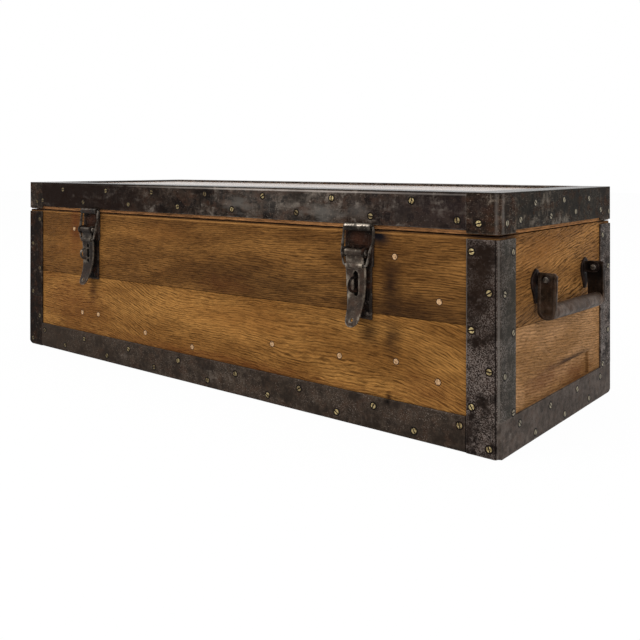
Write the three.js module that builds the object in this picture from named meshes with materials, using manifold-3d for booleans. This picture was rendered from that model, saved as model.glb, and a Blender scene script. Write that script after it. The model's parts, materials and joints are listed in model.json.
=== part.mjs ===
// Oak storage box bound in steel angle, with a lifting lid, two toggle latches and two drop handles.
// Sizes are in millimetres. X runs along the box, minus Y is the front, Z is up, and the origin is
// the middle of the footprint on the floor.
import * as THREE from 'three';
import { mergeVertices } from 'three/addons/utils/BufferGeometryUtils.js';
import Module from 'manifold-3d';

const wasm = await Module();
wasm.setup();

// Overall size, over the steel
const boxLength = 956;
const boxWidth = 362;
const boxHeight = 300;
const lidHeight = 50;

// Timber
const boardThickness = 20;
const lidBoardThickness = 12;
const bottomBoardThickness = 15;
const boardSeam = 0.3;

// How far each seam lies below the top of the body, at its two ends
const frontSeamDropLeft = 112.5;
const frontSeamDropRight = 103.5;
const backSeamDrop = 108;
const rightSeamDropFront = 108.5;
const rightSeamDropBack = 118;
const leftSeamDrop = 110;

// Shallow recess in the outer face of the right end
const recessFrontInset = 71;
const recessBackInset = 83;
const recessHeight = 31;
const recessDepth = 4.5;

// Steel angle round the body and the lid
const steelThickness = 2.5;
const baseStripHeight = 42;
const baseStripUnder = 42;
const cornerLegWidth = 42;
const cornerLegDrop = 3.5;
const lidStripDepth = 44;
const lidStripTop = 42;
const lidCapLeg = 42;
const lidCapDepth = 47.5;

// Running clearance between parts that move, and how far a cutting tool overruns
const runningGap = 0.3;
const cutOverrun = 5;

// Toggle latch: base plate, ears and pivot pin
const latchSpacing = 568;
const latchPlateWidth = 38.5;
const latchPlateHeight = 112.5;
const latchPlateThickness = 2.5;
const latchPlateTopGap = 0.5;
const latchWingWidth = 43.5;
const latchWingHeight = 46;
const pivotDrop = 28.5;
const pivotOut = 9.5;
const latchPinRadius = 2.25;
const latchPinHeadRadius = 3.6;
const latchPinHeadThickness = 1.2;
const earThickness = 2.5;
const earRadius = 6.5;

// Toggle latch: lever
const leverBarrelLength = 28;
const leverBarrelRadius = 4.5;
const leverLength = 93.5;
const leverWidth = 31;
const leverThickness = 2.4;
const leverTipReach = 18.5;
const leverSlotWidth = 7.5;
const leverSlotRoom = 6;
const leverHoleRadius = 2.2;
const leverHoleInset = 8.5;
const lipLength = 26;
const lipRadius = 4;
const lipDrop = 17;
const lipSetBack = 1;

// Toggle latch: wire bail, keeper on the lid and staple for a padlock
const bailWireRadius = 1.5;
const bailFootWidth = 33;
const bailShoulderWidth = 43;
const bailShoulderRise = 9;
const bailTopWidth = 46;
const bailBendRadius = 3;
const keeperLength = 41;
const keeperRollRadius = 4.5;
const keeperBoreRadius = 2;
const keeperRise = 3;
const keeperOut = 5;
const keeperPlateThickness = 2;
const keeperPlateHeight = 5.4;
const keeperNeckThickness = 2.4;
const stapleWireRadius = 1.75;
const stapleHeight = 21;
const stapleReach = 22.5;
const stapleDrop = 40.5;

// Drop handle at each end
const handlePivotDrop = 57;
const handlePivotOut = 12.5;
const handleSpan = 164;
const handleArmThickness = 3;
const handleArmWidth = 23.5;
const handleArmStandOff = 1.5;
const handleArmTop = 8;
const handleDrop = 37;
const armFootRadius = 11.5;
const gripRadius = 9.2;
const gripWall = 2.5;
const gripHalfTurn = (2 * Math.PI) / 3;
const handlePinRadius = 3;
const handlePinHeadRadius = 5;
const handlePinHeadThickness = 2;
const bracketWidth = 28;
const bracketAbovePivot = 12;
const bracketBelowPivot = 30;
const bracketThickness = 2.5;
const bracketEarThickness = 2.5;
const bracketEarRadius = 7.5;

// Butt hinges at the back
const hingeSpacing = 560;
const hingeWidth = 70;
const hingeMiddleWidth = 26;
const hingeLeafThickness = 2;
const hingeLeafHeight = 38;
const hingeKnuckleRadius = 6;
const hingePinRadius = 3;

// Facets of a round and steps along a wire
const roundFacets = 20;
const wireFacets = 8;
const wireSteps = 52;
const shoulderSteps = 5;
const stapleBendSteps = 10;
const stapleSteps = 30;
const tongueSteps = 16;
const gripFacets = 14;

// Half widths of the lever as shares of its width, against the drop as shares of its length
const leverWidthShares = [[0, 0.86], [0.14, 0.86], [0.21, 1], [0.45, 0.95], [0.62, 0.84], [0.78, 0.73],
  [0.9, 0.65]];

// Distance of the lever from the plate as shares of its tip's reach, against the same drop
const leverBowShares = [[0, 0.5], [0.16, 0.42], [0.27, 0.33], [0.5, 0.31], [0.66, 0.36], [0.8, 0.56],
  [0.91, 0.82], [1, 1]];

// Outline of a handle bracket: half width shares against height shares, from the foot up
const bracketWidthShares = [[0, 0.2], [0.1, 0.36], [0.3, 0.58], [0.48, 0.9], [0.62, 1], [0.78, 0.9],
  [0.9, 0.55], [1, 0.08]];

// Places that follow from the sizes
const halfLength = boxLength / 2;
const halfWidth = boxWidth / 2;
const bodyTop = boxHeight - lidHeight;
const woodX = halfLength - steelThickness;
const woodY = halfWidth - steelThickness;
const innerX = woodX - boardThickness;
const innerY = woodY - boardThickness;
const woodBottom = steelThickness;
const woodTop = boxHeight - steelThickness;
const lidRimTop = woodTop - lidBoardThickness;
const cornerTop = bodyTop - cornerLegDrop;
const stripEndX = halfLength - cornerLegWidth;
const capX = halfLength - lidCapLeg;
const capY = halfWidth - lidCapLeg;
const lidStripBottom = boxHeight - lidStripDepth;
const lidCapBottom = boxHeight - lidCapDepth;
const plateFace = woodY + latchPlateThickness;
const pivotY = -plateFace - pivotOut;
const pivotZ = bodyTop - pivotDrop;
const lipY = pivotY + lipSetBack;
const lipZ = pivotZ - lipDrop;
const keeperY = -plateFace - keeperOut;
const keeperZ = bodyTop + keeperRise;
const earInner = leverBarrelLength / 2 + runningGap;
const earOuter = earInner + earThickness;
const stapleZ = pivotZ - stapleDrop;
const handlePivotZ = bodyTop - handlePivotDrop;
const bracketFace = woodX + bracketThickness;
const hingeY = halfWidth + hingeKnuckleRadius;

// Finishes
const goldenOak = new THREE.MeshStandardMaterial({ color: 0x9a6a2c, roughness: 0.55, metalness: 0 });
const brownOak = new THREE.MeshStandardMaterial({ color: 0x6d4720, roughness: 0.6, metalness: 0 });
const darkSteel = new THREE.MeshStandardMaterial({ color: 0x3a3430, roughness: 0.45, metalness: 0.85 });
const wornSteel = new THREE.MeshStandardMaterial({ color: 0x5c5148, roughness: 0.35, metalness: 0.9 });

const box = new THREE.Group();

function addPiece(name, geometry, material, x = 0) {
  const mesh = new THREE.Mesh(geometry, material);
  mesh.name = name;
  mesh.position.x = x;
  box.add(mesh);
}

// A block between two opposite corners
function block(xa, xb, ya, yb, za, zb) {
  const geometry = new THREE.BoxGeometry(1, 1, 1);
  const place = geometry.attributes.position;
  const low = [Math.min(xa, xb), Math.min(ya, yb), Math.min(za, zb)];
  const high = [Math.max(xa, xb), Math.max(ya, yb), Math.max(za, zb)];
  for (let i = 0; i < place.count; i += 1) {
    const unit = [place.getX(i), place.getY(i), place.getZ(i)];
    const [x, y, z] = unit.map((value, axis) => (value < 0 ? low[axis] : high[axis]));
    place.setXYZ(i, x, y, z);
  }
  return geometry;
}

// A prism of an outline in the plane across an axis, from one place on that axis to another
function prism(axis, outline, from, to) {
  const shape = new THREE.Shape(outline.map(([a, b]) => new THREE.Vector2(a, b)));
  const geometry = new THREE.ExtrudeGeometry(shape, { depth: 1, bevelEnabled: false });
  const place = geometry.attributes.position;
  const low = Math.min(from, to);
  const high = Math.max(from, to);
  for (let i = 0; i < place.count; i += 1) {
    const a = place.getX(i);
    const b = place.getY(i);
    const far = place.getZ(i) > 0;
    if (axis === 'x') place.setXYZ(i, far ? high : low, a, b);
    if (axis === 'y') place.setXYZ(i, a, far ? low : high, b);
    if (axis === 'z') place.setXYZ(i, a, b, far ? high : low);
  }
  return geometry;
}

function arc(centreA, centreB, radius, startTurn, endTurn, facets) {
  const points = [];
  for (let i = 0; i <= facets; i += 1) {
    const turn = startTurn + ((endTurn - startTurn) * i) / facets;
    points.push([centreA + radius * Math.cos(turn), centreB + radius * Math.sin(turn)]);
  }
  return points;
}

function circle(centreA, centreB, radius) {
  return arc(centreA, centreB, radius, 0, 2 * Math.PI, roundFacets).slice(1);
}

function solidOf(geometry) {
  const bare = geometry.clone();
  bare.deleteAttribute('normal');
  bare.deleteAttribute('uv');
  const merged = mergeVertices(bare);
  return new wasm.Manifold(new wasm.Mesh({
    numProp: 3,
    vertProperties: merged.attributes.position.array,
    triVerts: new Uint32Array(merged.index.array),
  }));
}

function geometryOf(solid) {
  const mesh = solid.getMesh();
  const geometry = new THREE.BufferGeometry();
  geometry.setAttribute('position', new THREE.BufferAttribute(mesh.vertProperties, 3));
  geometry.setIndex(new THREE.BufferAttribute(mesh.triVerts, 1));
  return geometry;
}

function join(...geometries) {
  return geometryOf(geometries.map(solidOf).reduce((whole, next) => whole.add(next)));
}

function cut(geometry, ...tools) {
  return geometryOf(tools.map(solidOf).reduce((whole, tool) => whole.subtract(tool), solidOf(geometry)));
}

function common(first, second) {
  return geometryOf(solidOf(first).intersect(solidOf(second)));
}

// A straight pin along an axis with a head at each end: turned profile, then laid on the axis
function headedPin(axis, centre, from, to, radius, headRadius, headThickness) {
  const profile = [
    [0, from - headThickness],
    [headRadius, from - headThickness],
    [headRadius, from],
    [radius, from],
    [radius, to],
    [headRadius, to],
    [headRadius, to + headThickness],
    [0, to + headThickness],
  ].map(([across, along]) => new THREE.Vector2(across, along));
  const pin = new THREE.LatheGeometry(profile, roundFacets);
  if (axis === 'x') pin.rotateZ(-Math.PI / 2);
  pin.translate(...centre);
  return pin;
}

// Corner points joined by straight runs and round bends
function bentPath(corners, radius) {
  const path = new THREE.CurvePath();
  let start = corners[0];
  for (let i = 1; i < corners.length - 1; i += 1) {
    const before = corners[i].clone().sub(corners[i - 1]).normalize();
    const after = corners[i + 1].clone().sub(corners[i]).normalize();
    const entry = corners[i].clone().addScaledVector(before, -radius);
    const exit = corners[i].clone().addScaledVector(after, radius);
    path.add(new THREE.LineCurve3(start, entry));
    path.add(new THREE.QuadraticBezierCurve3(entry, corners[i], exit));
    start = exit;
  }
  path.add(new THREE.LineCurve3(start, corners[corners.length - 1]));
  return path;
}

function wire(path, radius, steps) {
  const section = new THREE.Shape(circlePoints(radius));
  return new THREE.ExtrudeGeometry(section, { steps, extrudePath: path, bevelEnabled: false });
}

function circlePoints(radius) {
  const points = [];
  for (let i = 0; i < wireFacets; i += 1) {
    const turn = (2 * Math.PI * i) / wireFacets;
    points.push(new THREE.Vector2(radius * Math.cos(turn), radius * Math.sin(turn)));
  }
  return points;
}

// Two boards that meet on a seam which may slope from one end of the face to the other
function boardPair(name, axis, near, far, from, to, dropNear, dropFar) {
  const seam = [[near, bodyTop - dropNear], [far, bodyTop - dropFar]];
  const upperSeam = seam.map(([along, height]) => [along, height + boardSeam]);
  const lower = [...seam, [far, woodBottom], [near, woodBottom]];
  const upper = [...upperSeam, [far, bodyTop], [near, bodyTop]];
  let lowerBoard = prism(axis, lower, from, to);
  if (name === 'right_end') lowerBoard = cut(lowerBoard, endRecess());
  addPiece(`${name}_lower_board`, lowerBoard, goldenOak);
  addPiece(`${name}_upper_board`, prism(axis, upper, from, to), brownOak);
}

function endRecess() {
  return block(
    woodX - recessDepth,
    woodX + cutOverrun,
    recessFrontInset - halfWidth,
    halfWidth - recessBackInset,
    baseStripHeight,
    baseStripHeight + recessHeight,
  );
}

function bodyBoards() {
  boardPair('front', 'y', -woodX, woodX, -woodY, -innerY, frontSeamDropLeft, frontSeamDropRight);
  boardPair('back', 'y', -woodX, woodX, innerY, woodY, backSeamDrop, backSeamDrop);
  boardPair('left_end', 'x', -innerY, innerY, -woodX, -innerX, leftSeamDrop, leftSeamDrop);
  boardPair('right_end', 'x', -innerY, innerY, innerX, woodX, rightSeamDropFront, rightSeamDropBack);
  const floorTop = woodBottom + bottomBoardThickness;
  const frontBoard = block(-innerX, innerX, -innerY, -boardSeam / 2, woodBottom, floorTop);
  const backBoard = block(-innerX, innerX, boardSeam / 2, innerY, woodBottom, floorTop);
  addPiece('bottom_board_front', frontBoard, brownOak);
  addPiece('bottom_board_back', backBoard, brownOak);
}

// Upright angle: its face leg runs to the floor, its end leg stands on the end strip
function cornerAngle(sideX, sideY) {
  const innerFace = sideX * stripEndX;
  const outerX = sideX * halfLength;
  const steelX = sideX * woodX;
  const outerY = sideY * halfWidth;
  const steelY = sideY * woodY;
  const legY = sideY * (halfWidth - cornerLegWidth);
  return join(
    block(innerFace, steelX, steelY, outerY, 0, cornerTop),
    block(innerFace, outerX, steelY, outerY, baseStripHeight, cornerTop),
    block(steelX, outerX, legY, outerY, baseStripHeight, cornerTop),
  );
}

function baseAngleLong(sideY) {
  const outerY = sideY * halfWidth;
  const underY = sideY * (halfWidth - baseStripUnder);
  return join(
    block(-stripEndX, stripEndX, sideY * woodY, outerY, 0, baseStripHeight),
    block(-stripEndX, stripEndX, underY, outerY, 0, steelThickness),
  );
}

function baseAngleEnd(sideX) {
  const outerX = sideX * halfLength;
  const steelX = sideX * woodX;
  return join(
    block(steelX, outerX, -halfWidth, halfWidth, 0, baseStripHeight),
    block(sideX * stripEndX, outerX, -woodY, woodY, 0, steelThickness),
  );
}

function bodySteel() {
  addPiece('corner_angle_front_left', cornerAngle(-1, -1), darkSteel);
  addPiece('corner_angle_front_right', cornerAngle(1, -1), darkSteel);
  addPiece('corner_angle_back_left', cornerAngle(-1, 1), darkSteel);
  addPiece('corner_angle_back_right', cornerAngle(1, 1), darkSteel);
  addPiece('base_angle_front', baseAngleLong(-1), darkSteel);
  addPiece('base_angle_back', baseAngleLong(1), darkSteel);
  addPiece('base_angle_left', baseAngleEnd(-1), darkSteel);
  addPiece('base_angle_right', baseAngleEnd(1), darkSteel);
}

function lidBoards() {
  const topMiddle = boardSeam / 2;
  addPiece('lid_board_front', block(-woodX, woodX, -woodY, -topMiddle, lidRimTop, woodTop), brownOak);
  addPiece('lid_board_back', block(-woodX, woodX, topMiddle, woodY, lidRimTop, woodTop), brownOak);
  addPiece('lid_rim_front', block(-woodX, woodX, -woodY, -innerY, bodyTop, lidRimTop), goldenOak);
  addPiece('lid_rim_back', block(-woodX, woodX, innerY, woodY, bodyTop, lidRimTop), goldenOak);
  addPiece('lid_rim_left', block(-woodX, -innerX, -innerY, innerY, bodyTop, lidRimTop), goldenOak);
  addPiece('lid_rim_right', block(innerX, woodX, -innerY, innerY, bodyTop, lidRimTop), goldenOak);
}

function lidStripLong(sideY) {
  const outerY = sideY * halfWidth;
  return join(
    block(-capX, capX, sideY * woodY, outerY, lidStripBottom, boxHeight),
    block(-capX, capX, sideY * (halfWidth - lidStripTop), outerY, woodTop, boxHeight),
  );
}

function lidStripEnd(sideX) {
  const outerX = sideX * halfLength;
  return join(
    block(sideX * woodX, outerX, -capY, capY, lidStripBottom, boxHeight),
    block(sideX * (halfLength - lidStripTop), outerX, -capY, capY, woodTop, boxHeight),
  );
}

function lidCap(sideX, sideY) {
  const outerX = sideX * halfLength;
  const outerY = sideY * halfWidth;
  return join(
    block(sideX * capX, outerX, sideY * woodY, outerY, lidCapBottom, boxHeight),
    block(sideX * woodX, outerX, sideY * capY, outerY, lidCapBottom, boxHeight),
    block(sideX * capX, outerX, sideY * capY, outerY, woodTop, boxHeight),
  );
}

function lidSteel() {
  addPiece('lid_strip_front', lidStripLong(-1), darkSteel);
  addPiece('lid_strip_back', lidStripLong(1), darkSteel);
  addPiece('lid_strip_left', lidStripEnd(-1), darkSteel);
  addPiece('lid_strip_right', lidStripEnd(1), darkSteel);
  addPiece('lid_cap_front_left', lidCap(-1, -1), darkSteel);
  addPiece('lid_cap_front_right', lidCap(1, -1), darkSteel);
  addPiece('lid_cap_back_left', lidCap(-1, 1), darkSteel);
  addPiece('lid_cap_back_right', lidCap(1, 1), darkSteel);
}

// Base plate, wider at the top, with two ears bent out of it for the pivot pin
function latchPlate() {
  const halfPlate = latchPlateWidth / 2;
  const top = bodyTop - latchPlateTopGap;
  const halfWing = latchWingWidth / 2;
  const plate = block(-halfPlate, halfPlate, -woodY, -plateFace, top - latchPlateHeight, top);
  const wings = block(-halfWing, halfWing, -woodY, -plateFace, top - latchWingHeight, top);
  const ears = [-1, 1].map((side) => prism(
    'x',
    [
      ...arc(pivotY, pivotZ, earRadius, Math.PI / 2, (3 * Math.PI) / 2, roundFacets / 2),
      [-plateFace + latchPlateThickness / 2, pivotZ - earRadius],
      [-plateFace + latchPlateThickness / 2, pivotZ + earRadius],
    ],
    side * earInner,
    side * earOuter,
  ));
  const bore = prism('x', circle(pivotY, pivotZ, latchPinRadius + runningGap), -halfPlate, halfPlate);
  return cut(join(plate, wings, ...ears), bore);
}

function latchPin() {
  const reach = earOuter + runningGap;
  const centre = [0, pivotY, pivotZ];
  return headedPin('x', centre, -reach, reach, latchPinRadius, latchPinHeadRadius, latchPinHeadThickness);
}

// Side view of the lever's tongue: a bowed strip of even thickness
function tongueProfile() {
  const bow = leverBowShares.map(([drop, out]) => new THREE.Vector2(
    -plateFace - out * leverTipReach,
    pivotZ - drop * leverLength,
  ));
  const curve = new THREE.SplineCurve(bow);
  const front = [];
  const back = [];
  for (let i = 0; i <= tongueSteps; i += 1) {
    const point = curve.getPoint(i / tongueSteps);
    const along = curve.getTangent(i / tongueSteps);
    const across = new THREE.Vector2(along.y, -along.x).multiplyScalar(leverThickness / 2);
    front.push([point.x + across.x, point.y + across.y]);
    back.unshift([point.x - across.x, point.y - across.y]);
  }
  return [...front, ...back];
}

// Front view of the lever: it narrows to a round tip
function leverOutline() {
  const halfLever = leverWidth / 2;
  const sides = leverWidthShares.map(([drop, share]) => [share * halfLever, pivotZ - drop * leverLength]);
  const [tipHalf, tipTop] = sides[sides.length - 1];
  const tipEnd = pivotZ - leverLength;
  const tip = arc(0, 0, 1, 0, -Math.PI, roundFacets / 2)
    .map(([across, down]) => [across * tipHalf, tipTop + down * (tipTop - tipEnd)]);
  const left = sides.map(([half, z]) => [-half, z]).reverse();
  return [...sides, ...tip.slice(1, -1), ...left];
}

// The staple's nearest and furthest reach from the pivot, which the slot has to clear
function stapleReaches() {
  const halfStaple = stapleHeight / 2;
  const nearest = stapleDrop - halfStaple;
  const furthest = Math.hypot(pivotOut, stapleDrop + halfStaple);
  return [nearest - leverSlotRoom, furthest + runningGap];
}

function leverSlot() {
  const [nearest, furthest] = stapleReaches();
  const halfSlot = leverSlotWidth / 2;
  return prism('y', [
    ...arc(0, pivotZ - nearest - halfSlot, halfSlot, 0, Math.PI, roundFacets / 2),
    ...arc(0, pivotZ - furthest, halfSlot, Math.PI, 2 * Math.PI, roundFacets / 2),
  ], -plateFace, -plateFace - leverTipReach);
}

function latchLever() {
  const tongue = prism('x', tongueProfile(), -leverWidth, leverWidth);
  const front = -plateFace - leverTipReach - cutOverrun;
  const strip = common(tongue, prism('y', leverOutline(), -plateFace, front));
  const halfBarrel = leverBarrelLength / 2;
  const barrel = prism('x', circle(pivotY, pivotZ, leverBarrelRadius), -halfBarrel, halfBarrel);
  const lip = prism('x', circle(lipY, lipZ, lipRadius), -lipLength / 2, lipLength / 2);
  const pinBore = prism('x', circle(pivotY, pivotZ, latchPinRadius + runningGap), -leverWidth, leverWidth);
  const wireBore = prism('x', circle(lipY, lipZ, bailWireRadius + runningGap), -leverWidth, leverWidth);
  const holeZ = pivotZ - leverLength + leverHoleInset;
  const hole = prism('y', circle(0, holeZ, leverHoleRadius), -plateFace, front);
  return cut(join(strip, barrel, lip), pinBore, wireBore, leverSlot(), hole);
}

// Spring wire bail: its foot turns in the lever's lip, its tips stand beside the keeper's roll
function latchBail() {
  const shoulderZ = lipZ + bailShoulderRise;
  const shoulderY = lipY + ((keeperY - lipY) * bailShoulderRise) / (keeperZ - lipZ);
  const tip = keeperLength / 2 + runningGap;
  const side = (sign) => [
    new THREE.Vector3(sign * tip, keeperY, keeperZ),
    new THREE.Vector3((sign * bailTopWidth) / 2, keeperY, keeperZ),
    new THREE.Vector3((sign * bailShoulderWidth) / 2, shoulderY, shoulderZ),
    new THREE.Vector3((sign * bailFootWidth) / 2, lipY, lipZ),
  ];
  const bend = Math.min(bailBendRadius, bailTopWidth / 2 - tip);
  return wire(bentPath([...side(-1), ...side(1).reverse()], bend), bailWireRadius, wireSteps);
}

function latchStaple() {
  const halfHeight = stapleHeight / 2 - stapleWireRadius;
  const bendY = -plateFace - stapleReach + stapleWireRadius + halfHeight;
  const path = new THREE.CurvePath();
  const place = (y, z) => new THREE.Vector3(0, y, z);
  const bend = arc(bendY, stapleZ, halfHeight, Math.PI / 2, (3 * Math.PI) / 2, stapleBendSteps)
    .map(([y, z]) => place(y, z));
  const top = place(-plateFace, stapleZ + halfHeight);
  const points = [top, ...bend, place(-plateFace, stapleZ - halfHeight)];
  for (let i = 1; i < points.length; i += 1) path.add(new THREE.LineCurve3(points[i - 1], points[i]));
  return wire(path, stapleWireRadius, stapleSteps);
}

// Keeper: a small plate on the lid's rim with a rolled edge that stands out from it
function latchKeeper() {
  const half = keeperLength / 2;
  const foot = bodyTop + runningGap;
  const plate = block(-half, half, -woodY, -woodY - keeperPlateThickness, foot, foot + keeperPlateHeight);
  const neckZ = keeperZ - keeperNeckThickness / 2;
  const neck = block(-half, half, -woodY, keeperY, neckZ, neckZ + keeperNeckThickness);
  const roll = prism('x', circle(keeperY, keeperZ, keeperRollRadius), -half, half);
  const bore = prism('x', circle(keeperY, keeperZ, keeperBoreRadius), -keeperLength, keeperLength);
  return cut(join(plate, neck, roll), bore);
}

function latches() {
  for (const [name, side] of [['left', -1], ['right', 1]]) {
    const x = (side * latchSpacing) / 2;
    addPiece(`${name}_latch_plate`, latchPlate(), darkSteel, x);
    addPiece(`${name}_latch_pin`, latchPin(), wornSteel, x);
    addPiece(`${name}_latch_lever`, latchLever(), wornSteel, x);
    addPiece(`${name}_latch_bail`, latchBail(), wornSteel, x);
    addPiece(`${name}_latch_staple`, latchStaple(), wornSteel, x);
    addPiece(`${name}_latch_keeper`, latchKeeper(), wornSteel, x);
  }
}

// Arm of the handle, seen along Y: round foot, round shoulder about the pivot
function armOutline(side) {
  const pivotX = bracketFace + handlePivotOut;
  const inner = handlePivotOut - handleArmStandOff;
  const outerX = bracketFace + handleArmStandOff + handleArmWidth;
  const footX = outerX - armFootRadius;
  const footZ = handlePivotZ - handleDrop;
  const shoulderEnd = Math.PI - Math.asin(handleArmTop / inner);
  const outline = [
    ...arc(footX, footZ, armFootRadius, 0, -Math.PI, roundFacets / 2),
    ...arc(pivotX, handlePivotZ, inner, Math.PI, shoulderEnd, shoulderSteps),
    [outerX, handlePivotZ + handleArmTop],
  ];
  return outline.map(([x, z]) => [side * x, z]);
}

// Rolled grip: a round channel in the low outer part of the arms' feet, open towards the box
function gripOutline(side) {
  const gripX = bracketFace + handleArmStandOff + handleArmWidth - gripRadius;
  const gripZ = handlePivotZ - handleDrop - armFootRadius + gripRadius;
  const outer = arc(gripX, gripZ, gripRadius, -gripHalfTurn, gripHalfTurn, gripFacets);
  const inner = arc(gripX, gripZ, gripRadius - gripWall, gripHalfTurn, -gripHalfTurn, gripFacets);
  return [...outer, ...inner].map(([x, z]) => [side * x, z]);
}

function handle(side) {
  const outerY = handleSpan / 2;
  const innerArm = outerY - handleArmThickness;
  const arms = [-1, 1].map((end) => prism('y', armOutline(side), end * innerArm, end * outerY));
  const gripEnd = outerY - handleArmThickness / 2;
  const grip = prism('y', gripOutline(side), -gripEnd, gripEnd);
  return cut(join(...arms, grip), handlePinHole(side));
}

function handlePinHole(side) {
  const pivotX = side * (bracketFace + handlePivotOut);
  return prism('y', circle(pivotX, handlePivotZ, handlePinRadius + runningGap), -boxWidth, boxWidth);
}

function handleBracket(side, end) {
  const earOut = handleSpan / 2 - handleArmThickness - runningGap;
  const earIn = earOut - bracketEarThickness;
  const centreY = end * (handleSpan / 2 - handleArmThickness / 2);
  const low = handlePivotZ - bracketBelowPivot;
  const tall = bracketBelowPivot + bracketAbovePivot;
  const halfBracket = bracketWidth / 2;
  const halfOutline = bracketWidthShares.map(([up, share]) => [share * halfBracket, low + up * tall]);
  const outline = [
    ...halfOutline.map(([half, z]) => [centreY + half, z]),
    ...halfOutline.map(([half, z]) => [centreY - half, z]).reverse(),
  ];
  const plate = prism('x', outline, side * woodX, side * bracketFace);
  const pivotX = bracketFace + handlePivotOut;
  const earOutline = [
    [woodX + bracketThickness / 2, handlePivotZ - bracketEarRadius],
    ...arc(pivotX, handlePivotZ, bracketEarRadius, -Math.PI / 2, Math.PI / 2, roundFacets / 2),
    [woodX + bracketThickness / 2, handlePivotZ + bracketEarRadius],
  ].map(([x, z]) => [side * x, z]);
  const ear = prism('y', earOutline, end * earIn, end * earOut);
  return cut(join(plate, ear), handlePinHole(side));
}

function handlePin(side, end) {
  const outer = handleSpan / 2 + runningGap;
  const inner = handleSpan / 2 - handleArmThickness - 2 * runningGap - bracketEarThickness;
  const pivotX = side * (bracketFace + handlePivotOut);
  const [from, to] = end > 0 ? [inner, outer] : [-outer, -inner];
  const centre = [pivotX, 0, handlePivotZ];
  return headedPin('y', centre, from, to, handlePinRadius, handlePinHeadRadius, handlePinHeadThickness);
}

function handles() {
  for (const [name, side] of [['left', -1], ['right', 1]]) {
    addPiece(`${name}_handle`, handle(side), darkSteel);
    for (const [place, end] of [['front', -1], ['back', 1]]) {
      addPiece(`${name}_handle_bracket_${place}`, handleBracket(side, end), darkSteel);
      addPiece(`${name}_handle_pin_${place}`, handlePin(side, end), wornSteel);
    }
  }
}

function hingeBarrel(from, to, radius) {
  return prism('x', circle(hingeY, bodyTop, radius), from, to);
}

// Leaf on the body: cranked out from the wood to two knuckles
function hingeBodyLeaf() {
  const half = hingeWidth / 2;
  const middle = hingeMiddleWidth / 2 + runningGap;
  const leafFace = woodY + hingeLeafThickness;
  const crankTop = bodyTop - hingeLeafThickness;
  const crankFoot = crankTop - hingeKnuckleRadius;
  const leaf = block(-half, half, woodY, leafFace, bodyTop - hingeLeafHeight, crankTop);
  const knuckles = [-1, 1].flatMap((side) => [
    block(side * middle, side * half, woodY, hingeY, crankFoot, crankTop),
    hingeBarrel(side * middle, side * half, hingeKnuckleRadius),
  ]);
  return cut(join(leaf, ...knuckles), hingeBarrel(-hingeWidth, hingeWidth, hingePinRadius + runningGap));
}

// Leaf on the lid's back strip, with the middle knuckle
function hingeLidLeaf() {
  const half = hingeWidth / 2;
  const middle = hingeMiddleWidth / 2;
  const leafFace = halfWidth + hingeLeafThickness;
  const foot = bodyTop + 2 * hingeKnuckleRadius;
  const top = bodyTop + hingeLeafHeight + hingeKnuckleRadius;
  const leaf = block(-half, half, halfWidth, leafFace, foot, top);
  const neck = block(-middle, middle, halfWidth, leafFace, bodyTop, foot + hingeLeafThickness);
  const knuckle = hingeBarrel(-middle, middle, hingeKnuckleRadius);
  return cut(join(leaf, neck, knuckle), hingeBarrel(-hingeWidth, hingeWidth, hingePinRadius + runningGap));
}

function hinges() {
  for (const [name, side] of [['left', -1], ['right', 1]]) {
    const x = (side * hingeSpacing) / 2;
    const half = hingeWidth / 2;
    addPiece(`${name}_hinge_body_leaf`, hingeBodyLeaf(), darkSteel, x);
    addPiece(`${name}_hinge_lid_leaf`, hingeLidLeaf(), darkSteel, x);
    addPiece(`${name}_hinge_pin`, hingeBarrel(-half, half, hingePinRadius), wornSteel, x);
  }
}

bodyBoards();
bodySteel();
lidBoards();
lidSteel();
latches();
handles();
hinges();

export default box;
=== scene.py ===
import json
import math

import bmesh
import bpy
import numpy
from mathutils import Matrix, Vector, noise

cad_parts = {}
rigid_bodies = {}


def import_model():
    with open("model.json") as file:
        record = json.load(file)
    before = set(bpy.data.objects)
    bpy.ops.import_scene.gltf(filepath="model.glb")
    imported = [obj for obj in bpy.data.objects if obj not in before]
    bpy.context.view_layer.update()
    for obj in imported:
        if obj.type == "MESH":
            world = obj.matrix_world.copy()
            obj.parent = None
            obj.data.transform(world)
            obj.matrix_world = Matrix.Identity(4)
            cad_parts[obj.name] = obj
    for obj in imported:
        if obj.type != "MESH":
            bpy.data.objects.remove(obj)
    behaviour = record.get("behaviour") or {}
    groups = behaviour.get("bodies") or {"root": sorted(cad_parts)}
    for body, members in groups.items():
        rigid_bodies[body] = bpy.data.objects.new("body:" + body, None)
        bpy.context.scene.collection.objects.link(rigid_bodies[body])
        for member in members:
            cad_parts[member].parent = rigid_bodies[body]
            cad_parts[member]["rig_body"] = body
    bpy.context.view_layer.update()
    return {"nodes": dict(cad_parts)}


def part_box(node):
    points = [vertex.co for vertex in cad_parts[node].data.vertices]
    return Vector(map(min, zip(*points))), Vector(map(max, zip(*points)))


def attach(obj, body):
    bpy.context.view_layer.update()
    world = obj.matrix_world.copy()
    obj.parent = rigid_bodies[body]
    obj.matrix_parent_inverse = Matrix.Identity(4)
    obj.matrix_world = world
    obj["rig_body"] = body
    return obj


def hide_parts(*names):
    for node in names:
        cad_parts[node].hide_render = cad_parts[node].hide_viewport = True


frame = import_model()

MM = 0.001
SCENE = bpy.context.scene
SCENE.view_settings.view_transform = "Standard"

# Camera: level, turned about the vertical, with the view slid down to hold the whole box
CAMERA_PLACE = (0.87795, -0.99555, 0.3298)
CAMERA_TURN = 0.679
CAMERA_LENS = 44.65
CAMERA_SHIFT = -0.2405

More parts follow.
